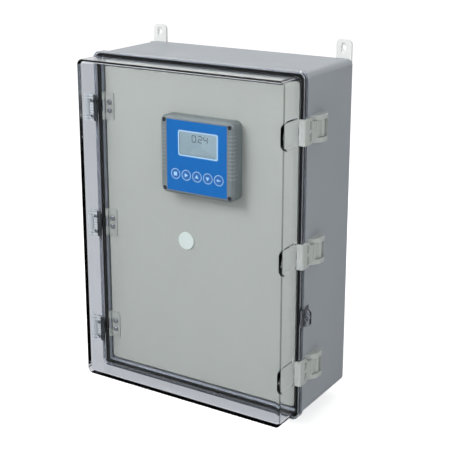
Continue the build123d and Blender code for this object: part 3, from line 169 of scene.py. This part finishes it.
def build_turned_metal():
    """Fine streaks for plated and rolled metal."""
    group, inputs, outputs = new_group(
        "turned_metal",
        [("Colour", "Color", (0.6, 0.6, 0.6, 1)), ("Roughness", "Float", 0.3)],
        [("Colour", "Color", None), ("Roughness", "Float", None), ("Height", "Float", None)])
    link = group.links.new
    place = shade_node(group, "TexCoord")
    stretch = shade_node(group, "Mapping")
    stretch.inputs["Scale"].default_value = (900.0, 900.0, 90.0)
    link(place.outputs["Object"], stretch.inputs["Vector"])
    streak = shade_node(group, "TexNoise")
    streak.inputs["Scale"].default_value = 1.0
    streak.inputs["Detail"].default_value = 3.0
    link(stretch.outputs["Vector"], streak.inputs["Vector"])
    shift = shade_node(group, "MapRange")
    shift.inputs["To Min"].default_value = 0.82
    shift.inputs["To Max"].default_value = 1.16
    link(streak.outputs["Fac"], shift.inputs["Value"])
    tint = shade_node(group, "VectorMath", operation="SCALE")
    link(inputs.outputs["Colour"], tint.inputs[0])
    link(shift.outputs["Result"], tint.inputs["Scale"])
    link(tint.outputs["Vector"], outputs.inputs["Colour"])
    rough = shade_node(group, "Math", operation="MULTIPLY_ADD")
    rough.inputs[1].default_value = 0.22
    link(streak.outputs["Fac"], rough.inputs[0])
    link(inputs.outputs["Roughness"], rough.inputs[2])
    link(rough.outputs[0], outputs.inputs["Roughness"])
    link(streak.outputs["Fac"], outputs.inputs["Height"])
    return group


turned_metal = build_turned_metal()


def metal(name, colour, roughness=0.3):
    material = bpy.data.materials.new(name)
    material.use_nodes = True
    tree = material.node_tree
    tree.nodes["Principled BSDF"].inputs["Metallic"].default_value = 1.0
    effect = tree.nodes.new("ShaderNodeGroup")
    effect.node_tree = turned_metal
    effect.inputs["Colour"].default_value = srgb(*colour)
    effect.inputs["Roughness"].default_value = roughness - 0.11
    link_effect(tree, effect, 0.1, 0.00005)
    return material


zinc_plate = metal("zinc_plate", (205, 207, 208), roughness=0.28)
stainless = metal("stainless", (176, 179, 182), roughness=0.34)


def mesh_piece(name, body, material, build, smooth=True):
    """Makes one piece from mesh code and lets it ride on a body."""
    mesh = bpy.data.meshes.new(name)
    shape = bmesh.new()
    build(shape)
    bmesh.ops.remove_doubles(shape, verts=shape.verts, dist=1e-7)
    bmesh.ops.recalc_face_normals(shape, faces=shape.faces)
    shape.to_mesh(mesh)
    shape.free()
    mesh.materials.append(material)
    piece = bpy.data.objects.new(name, mesh)
    bpy.context.scene.collection.objects.link(piece)
    if smooth:
        for polygon in mesh.polygons:
            polygon.use_smooth = True
        mesh.set_sharp_from_angle(angle=math.radians(35))
    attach(piece, body)
    return piece


finish_nodes(zinc_plate, "wall_lug_screws", "plate_screws", "hinge_base_screws", "bracket_screws")


# Mounting plate and rail
# A stainless steel sheet, screwed on four bosses of the cabinet's back. It carries a pressed,
# zinc-plated steel rail for the electrical parts and the saddles of the measuring chamber.

finish_nodes(stainless, "mounting_plate", "chamber_saddles")
finish_nodes(zinc_plate, "din_rail")


# Measuring chamber and bubble trap
# The chamber and the trap's caps are turned from black acetal, and the trap is a clear acrylic
# tube between two caps. The saddles and a clip hold both upright on the mounting plate.

black_acetal = moulded("black_acetal", (34, 35, 37), roughness=0.36, drift=0.1, bump=0.1)
finish_nodes(black_acetal, "measuring_chamber", "bubble_trap_caps", "bubble_trap_clip", "detector_head")
cap_plastic = moulded("cap_plastic", (48, 50, 54), roughness=0.5)
finish_nodes(cap_plastic, "chamber_cap")


def clear_plastic(name, colour, roughness=0.03, shadow=0.85, bend=1.45):
    """See-through plastic that lets most of the light through to what is behind it."""
    material = bpy.data.materials.new(name)
    material.use_nodes = True
    tree = material.node_tree
    shader = tree.nodes["Principled BSDF"]
    shader.inputs["Transmission Weight"].default_value = 1.0
    shader.inputs["IOR"].default_value = bend
    tint = shade_node(tree, "TexNoise")
    tint.inputs["Scale"].default_value = 6.0
    mix = shade_node(tree, "Mix", data_type="RGBA")
    mix.inputs["A"].default_value = srgb(*colour)
    mix.inputs["B"].default_value = srgb(*[min(255, c + 5) for c in colour])
    tree.links.new(tint.outputs["Fac"], mix.inputs["Factor"])
    tree.links.new(mix.outputs["Result"], shader.inputs["Base Color"])
    rough = shade_node(tree, "MapRange")
    rough.inputs["To Min"].default_value = roughness * 0.6
    rough.inputs["To Max"].default_value = roughness * 1.4
    tree.links.new(tint.outputs["Fac"], rough.inputs["Value"])
    tree.links.new(rough.outputs["Result"], shader.inputs["Roughness"])
    through = shade_node(tree, "BsdfTransparent")
    through.inputs["Color"].default_value = (shadow, shadow, shadow, 1)
    path = shade_node(tree, "LightPath")
    blend = shade_node(tree, "MixShader")
    out = tree.nodes["Material Output"]
    tree.links.new(path.outputs["Is Shadow Ray"], blend.inputs[0])
    tree.links.new(shader.outputs[0], blend.inputs[1])
    tree.links.new(through.outputs[0], blend.inputs[2])
    tree.links.new(blend.outputs[0], out.inputs["Surface"])
    return material


clear_acrylic = clear_plastic("clear_acrylic", (236, 240, 242))
finish_nodes(clear_acrylic, "bubble_trap_tube")


# Sample tubes and fittings
# Soft milky tubes pushed on between the hose tails in the floor and the chamber and trap.
# The tails and the cable glands are moulded nylon, held by nuts inside the cabinet.

milky_tube = moulded("milky_tube", (214, 216, 210), roughness=0.3)
finish_nodes(milky_tube, "sample_tubes")
fitting_nylon = moulded("fitting_nylon", (78, 82, 85), roughness=0.4)
finish_nodes(fitting_nylon, "hose_fittings")
gland_nylon = moulded("gland_nylon", (60, 63, 66), roughness=0.42)
finish_nodes(gland_nylon, "gland_bodies", "gland_caps", "wall_nuts")


# Power supply and terminals
# Light grey plastic housings, clipped side by side on the rail, with a stop at the end
# that keeps the terminals from sliding off.

supply_plastic = moulded("supply_plastic", (182, 184, 182), roughness=0.5)
finish_nodes(supply_plastic, "power_supply", "rail_stop")
terminal_plastic = moulded("terminal_plastic", (160, 162, 158), roughness=0.45)
finish_nodes(terminal_plastic, "terminal_blocks")


# Swing panel
# A folded steel sheet, powder-coated pale grey with a very fine even texture. Three coated
# leaves with dark screws hang it on brackets in the cabinet, and two magnets hold it shut.

panel_coat = moulded("panel_coat", (165, 168, 160), roughness=0.5, drift=0.02, grain_size=0.0006, bump=0.02)
finish_nodes(panel_coat, "inner_panel")
finish_nodes(stainless, "panel_hinge_brackets", "panel_hinge_pins", "catch_brackets")
panel_hinge_coat = moulded("panel_hinge_coat", (158, 162, 155), roughness=0.4)
finish_nodes(panel_hinge_coat, "panel_hinge_leaves")
dark_zinc = metal("dark_zinc", (156, 158, 160), roughness=0.17)
finish_nodes(dark_zinc, "panel_hinge_screws")
ferrite = moulded("ferrite", (44, 44, 46), roughness=0.6, drift=0.12)
finish_nodes(ferrite, "catch_magnets")
plug_plastic = moulded("plug_plastic", (204, 214, 207), roughness=0.32)
finish_nodes(plug_plastic, "blank_plug")


# Controller
# A grey moulded bezel with a blue printed film, screwed at its corners to a case behind the
# panel. A liquid crystal display sits behind a clear window, above five round keys.

bezel_plastic = moulded("bezel_plastic", (112, 120, 119), roughness=0.5, bump=0.08)
finish_nodes(bezel_plastic, "controller_bezel")
case_plastic = moulded("case_plastic", (40, 42, 45), roughness=0.5)
finish_nodes(case_plastic, "controller_case")
board_lacquer = moulded("board_lacquer", (24, 92, 54), roughness=0.3, drift=0.2)
finish_nodes(board_lacquer, "circuit_board")
film_ink = moulded("film_ink", (0, 96, 166), roughness=0.5, drift=0.02, bump=0.0)
film_ink.node_tree.nodes["Principled BSDF"].inputs["Specular IOR Level"].default_value = 0.2
finish_nodes(film_ink, "face_film")
display_glass = moulded("display_glass", (168, 187, 192), roughness=0.25, drift=0.02, bump=0.0)
finish_nodes(display_glass, "display_module")
window_acrylic = clear_plastic("window_acrylic", (240, 243, 244), bend=1.2)
finish_nodes(window_acrylic, "display_window")
key_plastic = moulded("key_plastic", (2, 92, 162), roughness=0.4, drift=0.02, bump=0.02)
finish_nodes(key_plastic, "key_1", "key_2", "key_3", "key_4", "key_5")
terminal_green = moulded("terminal_green", (40, 122, 70), roughness=0.45)
finish_nodes(terminal_green, "rear_terminals")
seal_rubber = moulded("seal_rubber", (30, 31, 32), roughness=0.7)
finish_nodes(seal_rubber, "bezel_gasket", "door_gasket")
black_screw = metal("black_screw", (60, 61, 64), roughness=0.45)
finish_nodes(black_screw, "bezel_screws")

display_x, display_z = 0.0167, 0.1366
display_width, display_height = 0.067, 0.0375
rim_width = 0.0021
film_front = 0.1638
window_front = 0.1640
pane_back, pane_front = 0.16055, 0.1631
ink_thickness = 0.00005


def flat_shape(shape, points, depth):
    """One flat printed area, from (x, z) points on a plane that faces the front."""
    shape.faces.new([shape.verts.new((x, -depth, z)) for x, z in points])


def rounded_outline(x, z, width, height, radius, steps=6):
    points = []
    for turn, (side_x, side_z) in enumerate(((1, 1), (-1, 1), (-1, -1), (1, -1))):
        corner_x = x + side_x * (width / 2 - radius)
        corner_z = z + side_z * (height / 2 - radius)
        for step in range(steps + 1):
            angle = math.radians(90 * turn + 90 * step / steps)
            points.append((corner_x + radius * math.cos(angle), corner_z + radius * math.sin(angle)))
    return points


def raised_band(shape, outer, inner, back, front):
    """A closed band between two outlines, with a flat front and side walls."""
    loops = []
    for outline, depth in ((outer, back), (outer, front), (inner, front), (inner, back)):
        loops.append([shape.verts.new((x, -depth, z)) for x, z in outline])
    count = len(outer)
    for first, second in zip(loops, loops[1:]):
        for i in range(count):
            j = (i + 1) % count
            shape.faces.new((first[i], first[j], second[j], second[i]))


def build_display_rim(shape):
    """The pale printed border of the clear window."""
    outer = rounded_outline(display_x, display_z, display_width, display_height, 0.003)
    inner = rounded_outline(display_x, display_z, display_width - 2 * rim_width,
                            display_height - 2 * rim_width, 0.002)
    raised_band(shape, outer, inner, window_front + 0.00002, window_front + 0.00012)


def build_display_pane(shape):
    """The glass of the display, with a small bevel round its front."""
    gap, bevel, bevel_share = 0.0001, 0.0003, 0.985
    outline = rounded_outline(display_x, display_z, display_width - 2 * (rim_width + gap),
                              display_height - 2 * (rim_width + gap), 0.001)
    edge = [(display_x + (x - display_x) * bevel_share, display_z + (z - display_z) * bevel_share)
            for x, z in outline]
    back = [shape.verts.new((x, -pane_back, z)) for x, z in outline]
    side = [shape.verts.new((x, -(pane_front - bevel), z)) for x, z in outline]
    front = [shape.verts.new((x, -pane_front, z)) for x, z in edge]
    count = len(outline)
    for first, second in ((back, side), (side, front)):
        for i in range(count):
            j = (i + 1) % count
            shape.faces.new((first[i], first[j], second[j], second[i]))
    shape.faces.new(front)


digit_height, digit_width, digit_stroke = 0.0090, 0.0060, 0.0011
digit_gap = 0.0030
reading_left, reading_base = 0.0066, 0.1402
segment_front = pane_front + 0.00004
digit_segments = {"0": "abcdef", "2": "abged", "4": "fgbc"}


def build_reading(shape):
    """The digits of a reading, in seven-segment bars, with a dot after the first one."""
    left, base = reading_left, reading_base
    for character in "0.24":
        if character == ".":
            dot = 0.0012
            flat_shape(shape, rounded_outline(left - dot / 2, base + dot / 2, dot, dot, dot / 4),
                       segment_front)
            left += 0.0016
            continue
        right, top, middle = left + digit_width, base + digit_height, base + digit_height / 2
        t, tip = digit_stroke / 2, 0.0002
        bars = {
            "a": ((left, top), (right, top)), "g": ((left, middle), (right, middle)),
            "d": ((left, base), (right, base)), "f": ((left, middle), (left, top)),
            "b": ((right, middle), (right, top)), "e": ((left, base), (left, middle)),
            "c": ((right, base), (right, middle)),
        }
        for label in digit_segments[character]:
            (x0, z0), (x1, z1) = bars[label]
            if z0 == z1:
                points = [(x0 + tip, z0), (x0 + t, z0 + t), (x1 - t, z0 + t), (x1 - tip, z0),
                          (x1 - t, z0 - t), (x0 + t, z0 - t)]
            else:
                points = [(x0, z0 + tip), (x0 - t, z0 + t), (x0 - t, z1 - t), (x0, z1 - tip),
                          (x0 + t, z1 - t), (x0 + t, z0 + t)]
            flat_shape(shape, points, segment_front)
        left = right + digit_gap


rim_ink = moulded("rim_ink", (168, 206, 232), roughness=0.4, drift=0.02, bump=0.0)
segment_ink = moulded("segment_ink", (52, 62, 66), roughness=0.4, drift=0.02, bump=0.0)
mesh_piece("display_rim", "swing_panel", rim_ink, build_display_rim, smooth=False)
mesh_piece("display_pane", "swing_panel", display_glass, build_display_pane)
mesh_piece("display_reading", "swing_panel", segment_ink, build_reading, smooth=False)

key_marks = {
    1: [(-2.2, -2.2), (-2.2, 2.2), (2.2, 2.2), (2.2, -2.2)],
    2: [(-1.7, -2.4), (-1.7, 2.4), (2.6, 0.0)],
    3: [(-2.5, -1.6), (2.5, -1.6), (0.0, 2.6)],
    4: [(-2.5, 1.6), (0.0, -2.6), (2.5, 1.6)],
    5: [(-2.9, 0.0), (-0.4, 1.9), (-0.4, 0.6), (2.6, 0.6), (2.6, -0.6), (-0.4, -0.6), (-0.4, -1.9)],
}
mark_scale = 0.00125
key_row = [-0.0218, -0.0035, 0.0148, 0.0331, 0.0514]
key_z = 0.090
key_front = 0.1644
ring_outer, ring_inner = 0.0079, 0.0070
for number, key_x in enumerate(key_row, 1):

    def build_key_ring(shape, key_x=key_x):
        circle = [math.radians(7.5 * i) for i in range(48)]
        outer = [(key_x + ring_outer * math.cos(a), key_z + ring_outer * math.sin(a)) for a in circle]
        inner = [(key_x + ring_inner * math.cos(a), key_z + ring_inner * math.sin(a)) for a in circle]
        raised_band(shape, outer, inner, film_front + 0.00001, film_front + 0.00006)

    def build_key_mark(shape, key_x=key_x, mark=key_marks[number]):
        flat_shape(shape, [(key_x + x * mark_scale, key_z + z * mark_scale) for x, z in mark],
                   key_front + ink_thickness)

    mesh_piece(f"key_{number}_ring", "swing_panel", rim_ink, build_key_ring, smooth=False)
    mesh_piece(f"key_{number}_mark", f"key_{number}", rim_ink, build_key_mark, smooth=False)


def build_bezel_ribs(shape):
    """Grip ribs that run from the side strips of the bezel round its bevel."""
    bezel_x, bezel_half, strip_inner = 0.014, 0.062, 0.0525
    rib_count, rib_pitch, rib_half, rib_middle = 12, 0.0056, 0.0006, 0.125
    proud, bevel, back, rib_front = 0.0004, 0.0034, 0.1560, 0.1647
    for side in (-1, 1):
        inner = bezel_x + side * strip_inner
        edge = bezel_x + side * bezel_half
        outside = edge + side * proud
        profile = [(inner, film_front), (inner, rib_front), (edge - side * bevel, rib_front),
                   (outside, 0.1609), (outside, back), (edge - side * 0.001, back)]
        for row in range(rib_count):
            z = rib_middle + (row - (rib_count - 1) / 2) * rib_pitch
            low = [shape.verts.new((x, -depth, z - rib_half)) for x, depth in profile]
            high = [shape.verts.new((x, -depth, z + rib_half)) for x, depth in profile]
            count = len(profile)
            shape.faces.new(low)
            shape.faces.new(high)
            for i in range(count):
                j = (i + 1) % count
                shape.faces.new((low[i], low[j], high[j], high[i]))


# Painted highlight: the ribs are the bezel's own plastic, coloured lighter than the bezel for the light
# they catch.
rib_highlight_plastic = moulded("rib_highlight_plastic", (132, 140, 137), roughness=0.45, bump=0.05)
mesh_piece("bezel_ribs", "swing_panel", rib_highlight_plastic, build_bezel_ribs, smooth=False)


# Door hinges
# Three moulded hinges at the left, each with a leaf on the cabinet and a leaf on the door, on a
# steel pin. The knuckle side is pale, with painted shade in stripes for its fine ribs, and the part on the
# door is dark.

hinge_pale = moulded("hinge_pale", (214, 218, 218), roughness=0.4)
finish_nodes(hinge_pale, "hinge_base_leaves")
hinge_dark = moulded("hinge_dark", (50, 54, 56), roughness=0.4)
finish_nodes(hinge_dark, "hinge_door_leaves")


def pale_beyond(material, pale, edge_x, blend_x):
    """Turns the part of a finish that lies left of a line pale, with stripes of painted shade for fine
    ribs.
    """
    rib_pitch = 0.0042
    tree = material.node_tree
    shader = tree.nodes["Principled BSDF"]
    dark = shader.inputs["Base Color"].links[0].from_socket
    place = shade_node(tree, "SeparateXYZ")
    tree.links.new(shade_node(tree, "TexCoord").outputs["Object"], place.inputs[0])
    side = shade_node(tree, "MapRange")
    side.inputs["From Min"].default_value = edge_x - blend_x
    side.inputs["From Max"].default_value = edge_x
    tree.links.new(place.outputs["X"], side.inputs["Value"])
    mix = shade_node(tree, "Mix", data_type="RGBA")
    wave = shade_node(tree, "Math", operation="MULTIPLY")
    wave.inputs[1].default_value = 2 * math.pi / rib_pitch
    tree.links.new(place.outputs["Z"], wave.inputs[0])
    ripple = shade_node(tree, "Math", operation="SINE")
    tree.links.new(wave.outputs[0], ripple.inputs[0])
    # Painted shade: the pale colour darkens in stripes where the rib grooves are.
    groove_shade = shade_node(tree, "MapRange")
    for label, value in (("From Min", -1.0), ("From Max", 0.2), ("To Min", 0.6), ("To Max", 1.0)):
        groove_shade.inputs[label].default_value = value
    tree.links.new(ripple.outputs[0], groove_shade.inputs["Value"])
    rib_shade_colour = shade_node(tree, "VectorMath", operation="SCALE")
    rib_shade_colour.inputs[0].default_value = srgb(*pale)[:3]
    tree.links.new(groove_shade.outputs["Result"], rib_shade_colour.inputs["Scale"])
    tree.links.new(rib_shade_colour.outputs["Vector"], mix.inputs["A"])
    tree.links.new(side.outputs["Result"], mix.inputs["Factor"])
    tree.links.new(dark, mix.inputs["B"])
    tree.links.new(mix.outputs["Result"], shader.inputs["Base Color"])


pale_beyond(hinge_dark, (222, 226, 226), -0.1785, 0.0003)
finish_nodes(stainless, "hinge_pins", "latch_pins")
finish_nodes(zinc_plate, "hinge_door_screws")


# Latches and padlock eyes
# Three pale moulded levers at the right turn on steel pins in brackets that are screwed to
# the cabinet. The padlock eyes are bent steel, each held by two rivets.

latch_plastic = moulded("latch_plastic", (176, 181, 178), roughness=0.4)
finish_nodes(latch_plastic, "latch_brackets", "latch_top", "latch_middle", "latch_bottom")
finish_nodes(stainless, "padlock_eye_base", "padlock_eye_door", "eye_rivets_base", "eye_rivets_door")


# Clear door
# One deep tray of clear polycarbonate with a faint smoky tint. It hangs on the three hinges
# and closes on a dark seal, and a painted shade darkens its bent corners against its flat front.

clear_door = clear_plastic("clear_door", (232, 234, 238), roughness=0.02, bend=1.18)


def painted_corner_shade(material, tray):
    """Paints shade into the colour of the bent corner round the window, where the thick plastic loses
    light.
    """
    band_width, fade, band_depth = 0.0006, 0.0008, 0.0016
    corners = [vertex.co for vertex in tray.data.vertices]
    front = min(c.y for c in corners)
    flat = [c for c in corners if c.y < front + 0.0002]
    middles = [(min(c[i] for c in flat) + max(c[i] for c in flat)) / 2 for i in (0, 2)]
    halves = [(max(c[i] for c in flat) - min(c[i] for c in flat)) / 2 for i in (0, 2)]
    tree = material.node_tree
    place = shade_node(tree, "SeparateXYZ")
    tree.links.new(shade_node(tree, "TexCoord").outputs["Object"], place.inputs[0])
    reach = shade_node(tree, "Math", operation="MAXIMUM")
    for i, axis in enumerate(("X", "Z")):
        offset = shade_node(tree, "Math", operation="SUBTRACT")
        offset.inputs[1].default_value = middles[i]
        size = shade_node(tree, "Math", operation="ABSOLUTE")
        past = shade_node(tree, "Math", operation="SUBTRACT")
        past.inputs[1].default_value = halves[i] - band_width
        tree.links.new(place.outputs[axis], offset.inputs[0])
        tree.links.new(offset.outputs[0], size.inputs[0])
        tree.links.new(size.outputs[0], past.inputs[0])
        tree.links.new(past.outputs[0], reach.inputs[i])
    rim = shade_node(tree, "MapRange")
    rim.inputs["From Max"].default_value = band_width
    tree.links.new(reach.outputs[0], rim.inputs["Value"])
    near = shade_node(tree, "MapRange")
    for label, value in (("From Min", front + band_depth), ("From Max", front + band_depth + fade),
                         ("To Min", 1.0), ("To Max", 0.0)):
        near.inputs[label].default_value = value
    tree.links.new(place.outputs["Y"], near.inputs["Value"])
    band = shade_node(tree, "Math", operation="MULTIPLY")
    tree.links.new(rim.outputs["Result"], band.inputs[0])
    tree.links.new(near.outputs["Result"], band.inputs[1])
    shader = tree.nodes["Principled BSDF"]
    clear = shader.inputs["Base Color"].links[0].from_socket
    # Painted shade: a grey mixed into the tray's colour along the bent corners round the window.
    corner_shade_mix = shade_node(tree, "Mix", data_type="RGBA")
    corner_shade_mix.inputs["B"].default_value = srgb(130, 134, 134)
    tree.links.new(band.outputs[0], corner_shade_mix.inputs["Factor"])
    tree.links.new(clear, corner_shade_mix.inputs["A"])
    tree.links.new(corner_shade_mix.outputs["Result"], shader.inputs["Base Color"])


painted_corner_shade(clear_door, nodes["door_tray"])
finish_nodes(clear_door, "door_tray")


# Studio
# A plain white floor with a white backdrop, lit by three soft lamps. The camera stands
# at the photograph's angle.

floor_size = 12.0


def build_floor(shape):
    """One flat grid that the meter's shadow falls on."""
    bmesh.ops.create_grid(shape, x_segments=1, y_segments=1, size=floor_size)


def seen_directly(tree):
    """One where a ray comes from the camera or through clear plastic, and zero elsewhere."""
    path = shade_node(tree, "LightPath")
    either = shade_node(tree, "Math", operation="MAXIMUM")
    tree.links.new(path.outputs["Is Camera Ray"], either.inputs[0])
    tree.links.new(path.outputs["Is Transmission Ray"], either.inputs[1])
    return either.outputs[0], path.outputs["Is Glossy Ray"]


floor_white = bpy.data.materials.new("floor_white")
floor_white.use_nodes = True
floor_tree = floor_white.node_tree
floor_shader = floor_tree.nodes["Principled BSDF"]
floor_shader.inputs["Roughness"].default_value = 0.9
floor_shader.inputs["Specular IOR Level"].default_value = 0.0
floor_shader.inputs["Emission Color"].default_value = (1, 1, 1, 1)
floor_seen, floor_mirrored = seen_directly(floor_tree)
floor_colour = shade_node(floor_tree, "Mix", data_type="RGBA")
floor_colour.inputs["A"].default_value = srgb(235, 235, 235)
floor_colour.inputs["B"].default_value = srgb(92, 92, 96)
floor_tree.links.new(floor_mirrored, floor_colour.inputs["Factor"])
floor_tree.links.new(floor_colour.outputs["Result"], floor_shader.inputs["Base Color"])
floor_glow = shade_node(floor_tree, "Math", operation="MULTIPLY")
floor_glow.inputs[1].default_value = 0.62
floor_tree.links.new(floor_seen, floor_glow.inputs[0])
floor_tree.links.new(floor_glow.outputs[0], floor_shader.inputs["Emission Strength"])

floor_mesh = bpy.data.meshes.new("floor")
floor_shape = bmesh.new()
build_floor(floor_shape)
floor_shape.to_mesh(floor_mesh)
floor_shape.free()
floor_mesh.materials.append(floor_white)
floor = bpy.data.objects.new("floor", floor_mesh)
floor.location = (0, 0, cad_box[0].z - 0.001)
bpy.context.scene.collection.objects.link(floor)

world = bpy.data.worlds.new("studio")
bpy.context.scene.world = world
world.use_nodes = True
sky = world.node_tree.nodes["Background"]
world_tree = world.node_tree
world_seen, world_mirrored = seen_directly(world_tree)
heading = shade_node(world_tree, "SeparateXYZ")
world_tree.links.new(shade_node(world_tree, "TexCoord").outputs["Generated"], heading.inputs[0])
mirror_level = shade_node(world_tree, "MapRange")
for label, value in (("From Min", -0.6), ("From Max", 0.3), ("To Min", 0.12), ("To Max", 0.95)):
    mirror_level.inputs[label].default_value = value
world_tree.links.new(heading.outputs["Y"], mirror_level.inputs["Value"])
lit_level = shade_node(world_tree, "Mix", data_type="FLOAT")
lit_level.inputs["A"].default_value = 0.48
world_tree.links.new(world_mirrored, lit_level.inputs["Factor"])
world_tree.links.new(mirror_level.outputs["Result"], lit_level.inputs["B"])
world_level = shade_node(world_tree, "Mix", data_type="FLOAT")
world_level.inputs["B"].default_value = 1.0
world_tree.links.new(world_seen, world_level.inputs["Factor"])
world_tree.links.new(lit_level.outputs["Result"], world_level.inputs["A"])
world_tree.links.new(world_level.outputs["Result"], sky.inputs["Strength"])
sky.inputs["Color"].default_value = (1, 1, 1, 1)


def soft_lamp(name, place, aim, size, power):
    lamp = bpy.data.lights.new(name, "AREA")
    lamp.shape = "SQUARE"
    lamp.size = size
    lamp.energy = power
    item = bpy.data.objects.new(name, lamp)
    item.location = place
    item.rotation_euler = (Vector(aim) - Vector(place)).to_track_quat("-Z", "Y").to_euler()
    bpy.context.scene.collection.objects.link(item)


middle = (0, -0.1, 0)
soft_lamp("key_lamp", (-0.9, -1.9, 1.6), middle, 1.2, 44)
soft_lamp("fill_lamp", (1.9, -1.2, 0.6), middle, 1.4, 11)
soft_lamp("top_lamp", (0.1, 0.2, 2.2), middle, 1.4, 9)

camera_data = bpy.data.cameras.new("camera")
camera = bpy.data.objects.new("camera", camera_data)
bpy.context.scene.collection.objects.link(camera)
bpy.context.scene.camera = camera
focal_pixels = 1075.7
photo_pixels = 450
camera_data.lens = focal_pixels * camera_data.sensor_width / photo_pixels
camera_data.shift_y = -0.1
camera_turn = math.radians(32.23)
camera_lift = math.radians(15.56)
back = Vector((math.sin(camera_turn) * math.cos(camera_lift),
               -math.cos(camera_turn) * math.cos(camera_lift), math.sin(camera_lift)))
camera.location = (0.8326, -1.3871, 0.4951)
camera.rotation_mode = "QUATERNION"
camera.rotation_quaternion = (-back).to_track_quat("-Z", "Y")

bpy.context.scene.view_settings.view_transform = "Standard"
